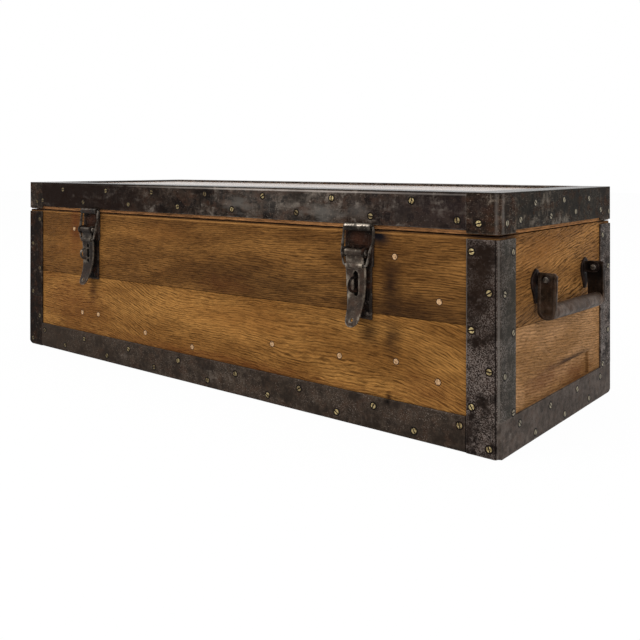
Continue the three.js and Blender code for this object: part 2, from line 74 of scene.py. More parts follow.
# Places taken from the frame, in metres: the outside of the steel and the face of the boards
HALF_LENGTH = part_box("corner_angle_front_right")[1].x
HALF_WIDTH = -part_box("corner_angle_front_right")[0].y
LID_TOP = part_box("lid_cap_front_right")[1].z
WOOD_FRONT = -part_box("front_lower_board")[0].y

# Finish of edges and bends
SHARP = math.radians(50)
SHADE_SHARP = math.radians(40)
FITTING_SHARP = math.radians(35)
HANDLE_SHARP = math.radians(30)
FLAT = math.radians(0.5)
TOUCHING = 0.01 * MM
BOARD_EASE = 0.7 * MM
STEEL_EASE = 0.45 * MM
BEND_RADIUS = 2.4 * MM
CAP_BEND_RADIUS = 5.0 * MM
LEG_BEND_RADIUS = 4.2 * MM
WEAR_REACH = 1.6 * MM
SLICE_LENGTH = 14 * MM
STEEL_WAVE = 0.16 * MM
STEEL_WAVE_LENGTH = 70 * MM
CORNER_GROOVE_INSET = 5.2 * MM
CORNER_GROOVE_WIDTH = 0.9 * MM
CORNER_GROOVE_DEPTH = 0.7 * MM
LID_GAP = 1.2 * MM
FOOT_ROUND = 12 * MM
NEAR_FOOT_ROUND = 7 * MM
FOOT_REACH = 24 * MM
FOOT_SLICES = (0.12, 0.3, 0.5, 0.75, 1.0)


# Nodes of a shader or geometry tree

def fill(tree, sockets, values):
    """Gives each input socket its value, or joins it to another node's output."""
    for key, value in values.items():
        if isinstance(value, bpy.types.NodeSocket):
            tree.links.new(value, sockets[key])
        else:
            sockets[key].default_value = value


def put(tree, kind, inputs=None, **settings):
    """Adds a node with its settings and inputs."""
    made = tree.nodes.new(kind)
    for name, value in settings.items():
        setattr(made, name, value)
    fill(tree, made.inputs, inputs or {})
    return made


def maths(tree, operation, *values, clamp=False):
    made = put(tree, "ShaderNodeMath", dict(enumerate(values)), operation=operation, use_clamp=clamp)
    return made.outputs[0]


def times(tree, first, second):
    return maths(tree, "MULTIPLY", first, second)


def split_axes(tree, place):
    return put(tree, "ShaderNodeSeparateXYZ", {0: place}).outputs


def join_axes(tree, *parts):
    return put(tree, "ShaderNodeCombineXYZ", dict(enumerate(parts))).outputs[0]


def remap(tree, value, low, high, to_low=0.0, to_high=1.0):
    inputs = {"Value": value, "From Min": low, "From Max": high, "To Min": to_low, "To Max": to_high}
    return put(tree, "ShaderNodeMapRange", inputs, clamp=True).outputs[0]


def blend_colours(tree, share, first, second, kind="MIX"):
    inputs = {0: share, 6: first, 7: second}
    return put(tree, "ShaderNodeMix", inputs, data_type="RGBA", blend_type=kind).outputs[2]


def stretched_noise(tree, place, lengths, detail, roughness=0.5):
    """Noise from 0 to 1 whose grains have the given lengths along the three axes."""
    scale = [1.0 / length for length in lengths]
    turned = put(tree, "ShaderNodeMapping", {"Vector": place, "Scale": scale}).outputs[0]
    inputs = {"Vector": turned, "Scale": 1.0, "Detail": detail, "Roughness": roughness}
    return put(tree, "ShaderNodeTexNoise", inputs).outputs[0]


def swing(tree, place, lengths, detail):
    """The same noise, from -0.5 to 0.5."""
    return maths(tree, "SUBTRACT", stretched_noise(tree, place, lengths, detail), 0.5)


def attribute(tree, name):
    return put(tree, "ShaderNodeAttribute", attribute_name=name).outputs["Fac"]


def new_group(name, kind, inputs, outputs):
    """A node group with named sockets: the tree, what comes in and what goes out."""
    tree = bpy.data.node_groups.new(name, kind)
    for label, socket_type, value in inputs:
        socket = tree.interface.new_socket(label, in_out="INPUT", socket_type=socket_type)
        if value is not None:
            socket.default_value = value
    for label, socket_type in outputs:
        tree.interface.new_socket(label, in_out="OUTPUT", socket_type=socket_type)
    entry = tree.nodes.new("NodeGroupInput").outputs
    leave = tree.nodes.new("NodeGroupOutput").inputs
    return tree, entry, leave


def srgb(red, green, blue):
    """A colour written as it looks on a screen, from 0 to 255."""
    shares = [value / 255 for value in (red, green, blue)]
    return [s / 12.92 if s < 0.04045 else ((s + 0.055) / 1.055) ** 2.4 for s in shares] + [1.0]


FLOAT = "NodeSocketFloat"
VECTOR = "NodeSocketVector"
COLOUR = "NodeSocketColor"


def oak_figure_group():
    """Plain-sawn oak: rings that bend round a heart, with open pores along them. Lengths in mm."""
    tree, entry, leave = new_group("oak_figure", "ShaderNodeTree", [
        ("Board", VECTOR, None),
        ("Heart Across", FLOAT, 0.0),
        ("Heart Depth", FLOAT, 5.0),
        ("Turn Start", FLOAT, 0.0),
        ("Turn Length", FLOAT, 200.0),
        ("Turn Rise", FLOAT, 0.0),
        ("Fall Start", FLOAT, 2000.0),
        ("Fall Rate", FLOAT, 0.0),
        ("Slope", FLOAT, 0.0),
        ("Ring Width", FLOAT, 4.0),
        ("Waver", FLOAT, 8.0),
        ("Pore Length", FLOAT, 16.0),
        ("Pore Width", FLOAT, 1.2),
        ("Pore Share", FLOAT, 0.4),
        ("Pore Strength", FLOAT, 0.8),
        ("Light", COLOUR, None),
        ("Middle", COLOUR, None),
        ("Dark", COLOUR, None),
        ("Pore", COLOUR, None),
    ], [("Color", COLOUR), ("Roughness", FLOAT), ("Height", FLOAT)])
    board = entry["Board"]
    split = split_axes(tree, board)

    # Height over the heart, which wavers, slopes, turns upward in one stretch and falls off at one end
    slow = swing(tree, board, (230, 75, 60), 1.5)
    quick = swing(tree, board, (30, 16, 20), 2.0)
    wave = maths(tree, "MULTIPLY_ADD", quick, 0.3, times(tree, slow, 2.0))
    across = maths(tree, "SUBTRACT", split[1], entry["Heart Across"])
    across = maths(tree, "MULTIPLY_ADD", split[0], entry["Slope"], across)
    across = maths(tree, "MULTIPLY_ADD", wave, entry["Waver"], across)
    turned = maths(tree, "SUBTRACT", split[0], entry["Turn Start"])
    turned = maths(tree, "DIVIDE", turned, entry["Turn Length"])
    turned = put(tree, "ShaderNodeMapRange", {"Value": turned}, interpolation_type="SMOOTHSTEP").outputs[0]
    across = maths(tree, "SUBTRACT", across, times(tree, turned, entry["Turn Rise"]))
    fallen = maths(tree, "MAXIMUM", maths(tree, "SUBTRACT", split[0], entry["Fall Start"]), 0.0)
    fallen = times(tree, times(tree, fallen, fallen), 0.01)
    across = maths(tree, "MULTIPLY_ADD", fallen, entry["Fall Rate"], across)

    # Growth rings about the heart
    depth = entry["Heart Depth"]
    squares = maths(tree, "MULTIPLY_ADD", across, across, times(tree, depth, depth))
    rings = maths(tree, "SQRT", squares)
    turns = maths(tree, "DIVIDE", rings, entry["Ring Width"])
    turns = maths(tree, "ADD", turns, stretched_noise(tree, board, (120, 9, 30), 1.0))
    ring = maths(tree, "SINE", times(tree, turns, 2 * math.pi))
    ring = maths(tree, "POWER", remap(tree, ring, -1.0, 1.0), 1.8)

    # Open pores in rows along the rings: long ones, and short fine ones between them
    along = maths(tree, "DIVIDE", split[0], entry["Pore Length"])
    row = maths(tree, "DIVIDE", rings, entry["Pore Width"])
    rim = maths(tree, "MULTIPLY_ADD", entry["Pore Share"], -0.3, 0.73)
    rim = maths(tree, "MULTIPLY_ADD", ring, -0.06, rim)
    found = []
    for length_share, width_share, strength in ((1.0, 1.0, 1.0), (0.42, 0.5, 0.55)):
        across_row = maths(tree, "DIVIDE", row, width_share)
        line = join_axes(tree, maths(tree, "DIVIDE", along, length_share), across_row, split[2])
        grain = put(tree, "ShaderNodeTexNoise", {"Vector": line, "Scale": 1.0, "Detail": 1.2}).outputs[0]
        found.append(remap(tree, maths(tree, "SUBTRACT", grain, rim), -0.03, 0.10, 0.0, strength))
    pore = maths(tree, "MAXIMUM", *found)

    # Colour: slow changes along the board, then rings, fibres and pores
    tone = remap(tree, stretched_noise(tree, board, (150, 38, 40), 3.0, 0.55), 0.38, 0.62)
    colour = blend_colours(tree, tone, entry["Light"], entry["Middle"])
    colour = blend_colours(tree, times(tree, ring, 0.42), colour, entry["Dark"])
    grain = join_axes(tree, split[0], rings, split[2])
    fibre = remap(tree, stretched_noise(tree, grain, (11, 1.7, 3), 3.0, 0.7), 0.3, 0.7, 0.66, 1.28)
    shade = put(tree, "ShaderNodeCombineColor", {0: fibre, 1: fibre, 2: fibre}).outputs[0]
    colour = blend_colours(tree, 1.0, colour, shade, "MULTIPLY")
    colour = blend_colours(tree, times(tree, pore, entry["Pore Strength"]), colour, entry["Pore"])

    rough = maths(tree, "MULTIPLY_ADD", pore, 0.2, 0.5)
    height = maths(tree, "MULTIPLY_ADD", ring, -0.25, times(tree, pore, -1.0))
    height = maths(tree, "MULTIPLY_ADD", fibre, 0.3, height)
    fill(tree, leave, {"Color": colour, "Roughness": rough, "Height": height})
    return tree


def smudge_group():
    """The mask of a soft patch round a place, ragged at its rim. Lengths in mm."""
    tree, entry, leave = new_group("smudge", "ShaderNodeTree", [
        ("Place", VECTOR, None),
        ("Middle", VECTOR, None),
        ("Reach", VECTOR, (10.0, 10.0, 10.0)),
        ("Ragged", FLOAT, 0.5),
    ], [("Mask", FLOAT)])
    away = put(tree, "ShaderNodeVectorMath", {0: entry["Place"], 1: entry["Middle"]}, operation="SUBTRACT")
    scaled = put(tree, "ShaderNodeVectorMath", {0: away.outputs[0], 1: entry["Reach"]}, operation="DIVIDE")
    far = put(tree, "ShaderNodeVectorMath", {0: scaled.outputs[0]}, operation="LENGTH").outputs["Value"]
    rough = swing(tree, entry["Place"], (22, 22, 7), 3.0)
    rough = times(tree, rough, times(tree, entry["Ragged"], 2.0))
    near = maths(tree, "SUBTRACT", 1.0, maths(tree, "ADD", far, rough), clamp=True)
    fill(tree, leave, {"Mask": maths(tree, "SMOOTH_MIN", near, 1.0, 0.2)})
    return tree


def steel_patina_group():
    """Old mild steel: dark skin, rubbed stretches, specks of bare metal and rust. Lengths in mm."""
    tree, entry, leave = new_group("steel_patina", "ShaderNodeTree", [
        ("Place", VECTOR, None),
        ("Edge", FLOAT, 0.0),
        ("Rubbed", FLOAT, 0.4),
        ("Specks", FLOAT, 0.4),
        ("Streaks", FLOAT, 0.3),
        ("Rust", FLOAT, 0.3),
        ("Blots", FLOAT, 0.6),
        ("Blot Length", FLOAT, 7.0),
        ("Skin", COLOUR, None),
        ("Grey", COLOUR, None),
        ("Bare", COLOUR, None),
        ("Rust Colour", COLOUR, None),
    ], [("Color", COLOUR), ("Roughness", FLOAT), ("Metallic", FLOAT), ("Height", FLOAT)])
    place = entry["Place"]
    black = (0.007, 0.0055, 0.005, 1.0)
    cloud = stretched_noise(tree, place, (34, 34, 26), 4.0, 0.62)
    mottle = stretched_noise(tree, place, (8, 8, 8), 5.0, 0.7)
    grit = stretched_noise(tree, place, (1.4, 1.4, 1.4), 2.0, 0.7)
    both = maths(tree, "MULTIPLY_ADD", mottle, 0.55, times(tree, cloud, 0.45))
    colour = blend_colours(tree, remap(tree, both, 0.42, 0.58), entry["Skin"], entry["Grey"])

    # Brown rust in clouds
    rust = remap(tree, stretched_noise(tree, place, (17, 17, 13), 5.0, 0.65), 0.5, 0.64)
    rust = times(tree, rust, entry["Rust"])
    colour = blend_colours(tree, rust, colour, entry["Rust Colour"])

    # Long stretches rubbed to bare metal, broken by the mottle
    rubbed_cloud = stretched_noise(tree, place, (85, 60, 30), 4.0, 0.65)
    limit = maths(tree, "MULTIPLY_ADD", entry["Rubbed"], -0.32, 0.72)
    rubbed = remap(tree, maths(tree, "SUBTRACT", rubbed_cloud, limit), -0.04, 0.1)
    rubbed = times(tree, rubbed, remap(tree, mottle, 0.42, 0.58, 0.05, 1.0))
    colour = blend_colours(tree, times(tree, rubbed, 0.7), colour, entry["Bare"])

    # Light and black blots of a given length
    parts = [maths(tree, "DIVIDE", part, entry["Blot Length"]) for part in split_axes(tree, place)]
    blot = stretched_noise(tree, join_axes(tree, *parts), (1, 1, 1), 4.5, 0.66)
    fleck = times(tree, remap(tree, blot, 0.43, 0.34), remap(tree, rubbed_cloud, 0.45, 0.6))
    colour = blend_colours(tree, times(tree, fleck, entry["Blots"]), colour, entry["Bare"])
    dark = times(tree, remap(tree, blot, 0.52, 0.6), entry["Blots"])
    colour = blend_colours(tree, dark, colour, black)

    # Fine scratches, upright and lying
    upright = stretched_noise(tree, place, (1.5, 1.5, 26), 3.0, 0.6)
    lying = stretched_noise(tree, place, (14, 14, 0.9), 3.0, 0.6)
    streak = remap(tree, maths(tree, "MAXIMUM", upright, lying), 0.58, 0.72)
    streak = times(tree, streak, remap(tree, rubbed_cloud, 0.42, 0.62))
    streak = times(tree, streak, entry["Streaks"])
    colour = blend_colours(tree, streak, colour, entry["Bare"])

    # Bright specks and dark pits of the grit
    speck_limit = maths(tree, "MULTIPLY_ADD", entry["Specks"], -0.2, 0.70)
    speck = remap(tree, maths(tree, "SUBTRACT", grit, speck_limit), 0.0, 0.06)
    speck = times(tree, speck, remap(tree, cloud, 0.4, 0.54))
    colour = blend_colours(tree, times(tree, speck, 0.75), colour, entry["Bare"])
    pit_limit = maths(tree, "MULTIPLY_ADD", entry["Specks"], 0.16, 0.26)
    pit = remap(tree, maths(tree, "SUBTRACT", pit_limit, grit), 0.0, 0.06)
    colour = blend_colours(tree, times(tree, pit, 0.7), colour, entry["Skin"])

    # Edge wear and painted highlights, shown as bare metal in ragged lengths
    ragged = remap(tree, stretched_noise(tree, place, (11, 11, 11), 4.0, 0.65), 0.44, 0.6, 0.12, 1.0)
    wear_and_highlight = times(tree, entry["Edge"], ragged)
    colour = blend_colours(tree, times(tree, wear_and_highlight, 0.8), colour, entry["Bare"])

    # Bare metal is smoother and more metallic than skin, and rust is less so
    bright = maths(tree, "MAXIMUM", wear_and_highlight, rubbed)
    bright = maths(tree, "MAXIMUM", bright, maths(tree, "MAXIMUM", speck, streak))
    rough = maths(tree, "MULTIPLY_ADD", both, 0.4, 0.3)
    rough = maths(tree, "MULTIPLY_ADD", rust, 0.25, rough)
    rough = maths(tree, "MULTIPLY_ADD", bright, -0.16, rough, clamp=True)
    metal = maths(tree, "MULTIPLY_ADD", bright, 0.5, 0.12, clamp=True)
    metal = maths(tree, "MULTIPLY_ADD", rust, -0.2, metal, clamp=True)
    height = maths(tree, "MULTIPLY_ADD", mottle, 0.7, times(tree, pit, -0.5))
    height = maths(tree, "MULTIPLY_ADD", grit, 0.35, height)
    fill(tree, leave, {"Color": colour, "Roughness": rough, "Metallic": metal, "Height": height})
    return tree


OAK_FIGURE = oak_figure_group()
SMUDGE = smudge_group()
STEEL_PATINA = steel_patina_group()


def new_material(name):
    material = bpy.data.materials.new(name)
    material.use_nodes = True
    tree = material.node_tree
    return material, tree, tree.nodes["Principled BSDF"].inputs


def group_node(tree, group, inputs):
    return put(tree, "ShaderNodeGroup", inputs, node_tree=group).outputs


def label_keys(values):
    """The given values under their sockets' labels, such as Ring Width for ring_width."""
    return {key.replace("_", " ").title(): value for key, value in values.items()}


def object_place(tree, turn=(0.0, 0.0, 0.0), shift=(0.0, 0.0, 0.0)):
    """Object coordinates in mm, turned so that a board's grain runs along the first axis."""
    place = put(tree, "ShaderNodeTexCoord").outputs["Object"]
    inputs = {"Vector": place, "Location": shift, "Rotation": turn, "Scale": (1000, 1000, 1000)}
    return put(tree, "ShaderNodeMapping", inputs).outputs[0]


def bump(tree, height, distance):
    return put(tree, "ShaderNodeBump", {"Height": height, "Distance": distance}).outputs[0]


def crevice(tree, reach, open_share=0.8):
    """1 deep in a corner or beside a raised edge, 0 in the open: the mask of painted shade."""
    inputs = {"Distance": reach}
    share = put(tree, "ShaderNodeAmbientOcclusion", inputs, samples=6).outputs["AO"]
    return remap(tree, share, 0.3, open_share, 1.0, 0.0)


GRAIN_ALONG_X = (-math.pi / 2, 0.0, 0.0)
GRAIN_ALONG_Y = (-math.pi / 2, -math.pi / 2, 0.0)
GRAIN_ON_TOP = (0.0, 0.0, 0.0)

# How deep the finish is worked into a surface
PORE_DEPTH = 0.35 * MM
PIT_DEPTH = 0.3 * MM
FINE_DEPTH = 0.1 * MM

# Heights in mm over which a finish of the lid comes in: the polish of its boards, the painted shade on
# the bend of its steel and where that ends, and the sheen of its flat top
LID_POLISH = (291, 293)
LID_BEND_START = (297.8, 298.6)
LID_BEND_END = (299.6, 299.8)
LID_SHEEN = (299.5, 299.9)

# Colours of the oak: light, middle, dark and in the pores
GOLDEN_OAK = (srgb(157, 112, 58), srgb(122, 83, 40), srgb(88, 52, 20), srgb(50, 28, 9))
BROWN_OAK = (srgb(136, 95, 49), srgb(100, 67, 33), srgb(64, 37, 15), srgb(42, 24, 10))
END_OAK = (srgb(160, 114, 64), srgb(122, 84, 45), srgb(84, 52, 25), srgb(42, 26, 13))
PALE_OAK = (srgb(164, 124, 84), srgb(138, 100, 60), srgb(100, 68, 40), srgb(62, 41, 23))
RED_OAK = (srgb(162, 114, 71), srgb(133, 92, 57), srgb(92, 60, 36), srgb(44, 27, 15))
RIM_OAK = (srgb(160, 112, 66), srgb(134, 92, 54), srgb(92, 60, 36), srgb(52, 33, 19))
# Dark stain colour, also used for painted shade and shadows on the wood
STAIN_AND_SHADE = srgb(38, 24, 16)
GLOW = srgb(152, 100, 48)
# Colour of a painted highlight along a board's top edge
EDGE_HIGHLIGHT = srgb(170, 122, 68)
REDDISH = srgb(84, 42, 20)


def add_patches(tree, place, colour, patches):
    """Lays patches on a colour. Each is its middle and reach in mm, raggedness, strength and colour."""
    for middle, reach, ragged, strength, tint in patches:
        inputs = {"Place": place, "Middle": middle, "Reach": reach, "Ragged": ragged}
        mask = group_node(tree, SMUDGE, inputs)["Mask"]
        colour = blend_colours(tree, times(tree, mask, strength), colour, tint)
    return colour


def oak(name, turn, colours, patches=(), shift=(0, 0, 0), crevice_reach=5 * MM, gloss=0.02, polish=0.0,
        **figure):
    """An oak board's material. The figure is given by the inputs of the oak_figure group."""
    material, tree, shader = new_material(name)
    inputs = dict(zip(("Light", "Middle", "Dark", "Pore"), colours), Board=object_place(tree, turn, shift))
    wood = group_node(tree, OAK_FIGURE, inputs | label_keys(figure))
    plain = object_place(tree)
    colour = add_patches(tree, plain, wood["Color"], patches)
    # Painted shade: darker towards the stain colour in corners and beside raised edges, from occlusion
    shade_and_grime = times(tree, crevice(tree, crevice_reach), 0.7)
    fill(tree, shader, {
        "Base Color": blend_colours(tree, shade_and_grime, colour, STAIN_AND_SHADE),
        "Roughness": wood["Roughness"],
        "Specular IOR Level": gloss,
        "Normal": bump(tree, wood["Height"], PORE_DEPTH),
    })
    if polish:
        coat = remap(tree, split_axes(tree, plain)[2], *LID_POLISH, 0.0, polish)
        fill(tree, shader, {"Coat Weight": coat, "Coat Roughness": 0.12})
    return material


# Colours of the steel: skin, rubbed grey, bare metal
BASE_STEEL = (srgb(42, 35, 30), srgb(63, 53, 45), srgb(124, 113, 103))
STRAP_STEEL = (srgb(23, 18, 15), srgb(58, 48, 41), srgb(128, 118, 108))
LEG_STEEL = (srgb(27, 21, 18), srgb(54, 45, 40), srgb(122, 111, 104))
CAP_STEEL = (srgb(23, 18, 14), srgb(45, 36, 29), srgb(128, 115, 102))
LID_END_STEEL = (srgb(24, 21, 17), srgb(44, 39, 33), srgb(112, 102, 90))
DARK_STEEL = (srgb(18, 12, 9), srgb(33, 23, 17), srgb(96, 84, 74))
GREY_STEEL = (srgb(60, 53, 48), srgb(88, 79, 73), srgb(128, 118, 108))
BLACK_STEEL = (srgb(14, 11, 10), srgb(27, 22, 19), srgb(108, 97, 88))
LATCH_STEEL = (srgb(13, 10, 9), srgb(30, 24, 20), srgb(178, 166, 152))
LEVER_STEEL = (srgb(37, 30, 25), srgb(62, 51, 43), srgb(176, 163, 146))
HANDLE_STEEL = (srgb(31, 21, 14), srgb(51, 37, 26), srgb(138, 119, 105))
BRACKET_STEEL = (srgb(12, 9, 8), srgb(24, 17, 15), srgb(74, 62, 56))
STEEL_RUST = srgb(62, 38, 26)
PALE_GREY = srgb(113, 107, 101)
COOL_GREY = srgb(116, 110, 103)
GREEN_BLACK = srgb(36, 36, 32)
# Pale grey of a painted highlight along the lid strip's top edge
TOP_EDGE_HIGHLIGHT = srgb(168, 158, 150)
GRIP_GREY = srgb(72, 60, 52)
PLUM = srgb(40, 31, 30)
FAR_STEEL = srgb(27, 18, 14)
FAR_BASE = srgb(50, 40, 32)
SMOOTH_STEEL = srgb(62, 60, 54)
RUST_BROWN = srgb(66, 41, 30)
TOP_SHEEN = 0.55


def steel(name, colours, rubbed, specks, rust, streaks=0.2, patches=(), edges=0.7, blots=0.6,
          blot_length=7.0, top_sheen=0.0, gloss=0.01):
    """A steel piece's material. The sheen is a coat on the lid's flat top, past a bend painted dark as
    shade.
    """
    material, tree, shader = new_material(name)
    skin, grey, bare = colours
    place = object_place(tree)
    patina = group_node(tree, STEEL_PATINA, {
        "Place": place,
        "Edge": times(tree, attribute(tree, "wear_and_highlight"), edges),
        "Rubbed": rubbed,
        "Specks": specks,
        "Streaks": streaks,
        "Rust": rust,
        "Blots": blots,
        "Blot Length": blot_length,
        "Skin": skin,
        "Grey": grey,
        "Bare": bare,
        "Rust Colour": STEEL_RUST,
    })
    colour = add_patches(tree, place, patina["Color"], patches)
    if top_sheen:
        height = split_axes(tree, place)[2]
        # Painted shade: a dark band on the rounded bend at the top of the lid's steel
        bend = remap(tree, height, *LID_BEND_START)
        bend = maths(tree, "SUBTRACT", bend, remap(tree, height, *LID_BEND_END))
        colour = blend_colours(tree, times(tree, bend, 0.75), colour, skin)
        coat = remap(tree, height, *LID_SHEEN, 0.0, top_sheen)
        fill(tree, shader, {"Coat Weight": coat, "Coat Roughness": 0.2})
    # Painted shade: darker towards the skin in corners and beside raised edges, from occlusion
    shade_and_grime = times(tree, crevice(tree, 2.5 * MM, 0.7), 0.6)
    fill(tree, shader, {
        "Base Color": blend_colours(tree, shade_and_grime, colour, skin),
        "Roughness": patina["Roughness"],
        "Metallic": patina["Metallic"],
        "Specular IOR Level": gloss,
        "Normal": bump(tree, patina["Height"], PIT_DEPTH),
    })
    return material


BRASS = srgb(206, 186, 136)
BRASS_SPOT = srgb(112, 92, 58)
BRASS_BROWN = srgb(58, 46, 34)
BRASS_GREY = srgb(124, 120, 110)
BRASS_SHADE_AND_GRIME = srgb(20, 15, 12)
PLUG_LIGHT = srgb(200, 163, 122)
PLUG_DARK = srgb(128, 96, 66)
GLUE_LINE_AND_SHADE = srgb(40, 23, 12)


def brass():
    """Dull brass heads, browner towards the left, greyer on the right end, with dirt and painted shade
    round each and in the slot.
    """
    material, tree, shader = new_material("brass_screws")
    place = object_place(tree)
    shade_and_grime = attribute(tree, "shade_and_grime")
    spots = stretched_noise(tree, place, (2.2, 2.2, 2.2), 3.0)
    each = stretched_noise(tree, place, (60, 60, 60), 1.0)
    along = split_axes(tree, place)[0]
    dull = remap(tree, along, -480, 470, 1.0, 0.05)
    dull = maths(tree, "ADD", dull, remap(tree, each, 0.42, 0.65, 0.0, 0.55), clamp=True)
    colour = blend_colours(tree, remap(tree, spots, 0.4, 0.65), BRASS, BRASS_SPOT)
    colour = blend_colours(tree, times(tree, dull, 0.85), colour, BRASS_BROWN)
    colour = blend_colours(tree, remap(tree, along, 476, 478, 0.0, 0.7), colour, BRASS_GREY)
    # Painted shade with dirt: dark in the slot, on the ring round each head and where a head meets the
    # surface
    shade_and_grime_share = maths(tree, "MAXIMUM", shade_and_grime, times(tree, crevice(tree, 1.4 * MM), 0.9))
    fill(tree, shader, {
        "Base Color": blend_colours(tree, shade_and_grime_share, colour, BRASS_SHADE_AND_GRIME),
        "Roughness": maths(tree, "MULTIPLY_ADD", spots, 0.4, 0.25),
        "Metallic": maths(tree, "SUBTRACT", 0.75, maths(tree, "MAXIMUM", shade_and_grime, dull), clamp=True),
        "Specular IOR Level": 0.04,
        "Normal": bump(tree, spots, FINE_DEPTH),
    })
    return material


def plug_wood():
    """Pale end grain of the round plugs, in a dark ring: the glue line with painted shade."""
    material, tree, shader = new_material("oak_plugs")
    spots = stretched_noise(tree, object_place(tree), (1.6, 1.6, 1.6), 3.0)
    colour = blend_colours(tree, remap(tree, spots, 0.38, 0.62), PLUG_LIGHT, PLUG_DARK)
    fill(tree, shader, {
        "Base Color": blend_colours(tree, attribute(tree, "shade_and_grime"), colour, GLUE_LINE_AND_SHADE),
        "Roughness": maths(tree, "MULTIPLY_ADD", spots, 0.3, 0.45),
        "Specular IOR Level": 0.1,
        "Normal": bump(tree, spots, FINE_DEPTH),
    })
    return material


# Pieces made from a copy of their solid

def solid_copy(node):
    """A node's solid as a mesh to work on, with its doubles merged and its flat faces whole."""
    built = bmesh.new()
    built.from_mesh(frame["nodes"][node].data)
    bmesh.ops.remove_doubles(built, verts=built.verts, dist=TOUCHING)
    bmesh.ops.dissolve_limit(built, angle_limit=FLAT, verts=built.verts, edges=built.edges)
    return built


def sharp_edges(built, angle=SHARP):
    return [edge for edge in built.edges if edge.calc_face_angle(0.0) > angle]


def ease(built, edges, width, segments=2):
    """Rounds the given edges."""
    bmesh.ops.bevel(built, geom=edges, offset=width, segments=segments, profile=0.5, affect="EDGES")


def slice_mesh(built, axis, place):
    direction = Vector((0, 0, 0))
    direction[axis] = 1.0
    point = direction * place
    everything = built.verts[:] + built.edges[:] + built.faces[:]
    bmesh.ops.bisect_plane(built, geom=everything, dist=0.001 * MM, plane_co=point, plane_no=direction)


def own_places(built, axis):
    """The separate places of the corners along an axis."""
    return sorted({round(vert.co[axis], 5) for vert in built.verts})


def edge_segments(built, angle=SHARP):
    """The ends of each sharp edge, kept before the edges are eased."""
    edges = [edge for edge in sharp_edges(built, angle) if edge.calc_length() > TOUCHING]
    return [(edge.verts[0].co.copy(), edge.verts[1].co.copy()) for edge in edges]


def mark_wear(built, segments, reach=WEAR_REACH):
    """Gives each point its edge wear: 1 on an edge of the solid, 0 past the reach."""
    layer = built.verts.layers.float.new("wear_and_highlight")
    starts = numpy.array([start for start, end in segments])
    runs = numpy.array([end - start for start, end in segments])
    squares = (runs ** 2).sum(axis=1)
    for vert in built.verts:
        away = numpy.array(vert.co) - starts
        shares = numpy.clip((away * runs).sum(axis=1) / squares, 0.0, 1.0)
        gaps = away - runs * shares[:, None]
        nearest = math.sqrt((gaps ** 2).sum(axis=1).min())
        vert[layer] = max(0.0, 1.0 - nearest / reach)


def grid(built, spacing):
    """Cuts a mesh into even slices along each axis, so that wear can fade within its faces."""
    for axis in range(3):
        low = min(vert.co[axis] for vert in built.verts)
        high = max(vert.co[axis] for vert in built.verts)
        count = int((high - low) / spacing)
        for step in range(1, count):
            slice_mesh(built, axis, low + (high - low) * step / count)


def add_object(name, data):
    made = bpy.data.objects.new(name, data)
    SCENE.collection.objects.link(made)
    return made


def show(name, built, body, material, slot):
    """Turns a worked mesh into a piece that rides a body."""
    mesh = bpy.data.meshes.new(name)
    built.to_mesh(mesh)
    built.free()
    mesh.materials.append(material)
    mesh.shade_smooth()
    mesh.set_sharp_from_angle(angle=SHADE_SHARP)
    piece = add_object(name, mesh)
    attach(piece, body)
    return piece


def show_for(node, ending, built, material, slot):
    """Shows a piece in place of a node, on the node's body."""
    piece = show(f"{node}_{ending}", built, frame["nodes"][node]["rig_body"], material, slot)
    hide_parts(node)


def support_loops(built, places):
    """Cuts beside each of the solid's own edges, so that wear and light fall off near them."""
    for axis, values in enumerate(places):
        for value in values:
            slice_mesh(built, axis, value - WEAR_REACH)
            slice_mesh(built, axis, value + WEAR_REACH)


def board(node, material, slot="brown_oak", raise_foot=0.0):
    """A board with its edges eased. Its lower face can be raised, to leave a gap under it."""
    built = solid_copy(node)
    segments = edge_segments(built)
    places = [own_places(built, axis) for axis in range(3)]
    if raise_foot:
        foot = min(vert.co.z for vert in built.verts)
        for vert in built.verts:
            if vert.co.z < foot + 0.1 * MM:
                vert.co.z += raise_foot
    ease(built, sharp_edges(built), BOARD_EASE)
    for axis in range(3):
        for value in (places[axis][0] + WEAR_REACH, places[axis][-1] - WEAR_REACH):
            slice_mesh(built, axis, value)
    mark_wear(built, segments)
    show_for(node, "oak", built, material, slot)


def on_line(edge, tests):
    """Whether both ends of an edge lie at the given places, as pairs of axis and place."""
    near = 0.05 * MM
    return all(abs(vert.co[axis] - place) < near for vert in edge.verts for axis, place in tests)


def wave_steel(built, seed, low, high):
    """Lets the steel wander a little within its solid's box, as hand-bent strip does."""
    built.normal_update()
    for vert in built.verts:
        place = vert.co / STEEL_WAVE_LENGTH + Vector((seed, 0, 0))
        moved = vert.co + vert.normal * STEEL_WAVE * noise.noise(place)
        vert.co = [min(max(moved[axis], low[axis]), high[axis]) for axis in range(3)]


def steel_angle(node, material, bends, groove=None, foot_corners=()):
    """A bent steel strip with round outer bends. A bend is a list of tests and a radius."""
    built = solid_copy(node)
    segments = edge_segments(built)
    places = [own_places(built, axis) for axis in range(3)]
    for tests, radius in bends:
        edges = [edge for edge in built.edges if on_line(edge, tests)]
        if edges:
            ease(built, edges, radius, 4)
    ease(built, sharp_edges(built), STEEL_EASE)
    support_loops(built, places)
    grid(built, SLICE_LENGTH)
    if groove:
        cut_groove(built, *groove)
    for corner in foot_corners:
        round_foot(built, *corner)
    mark_wear(built, segments)
    wave_steel(built, places[0][0] + places[1][0], *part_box(node))
    show_for(node, "steel", built, material, "steel_binding")


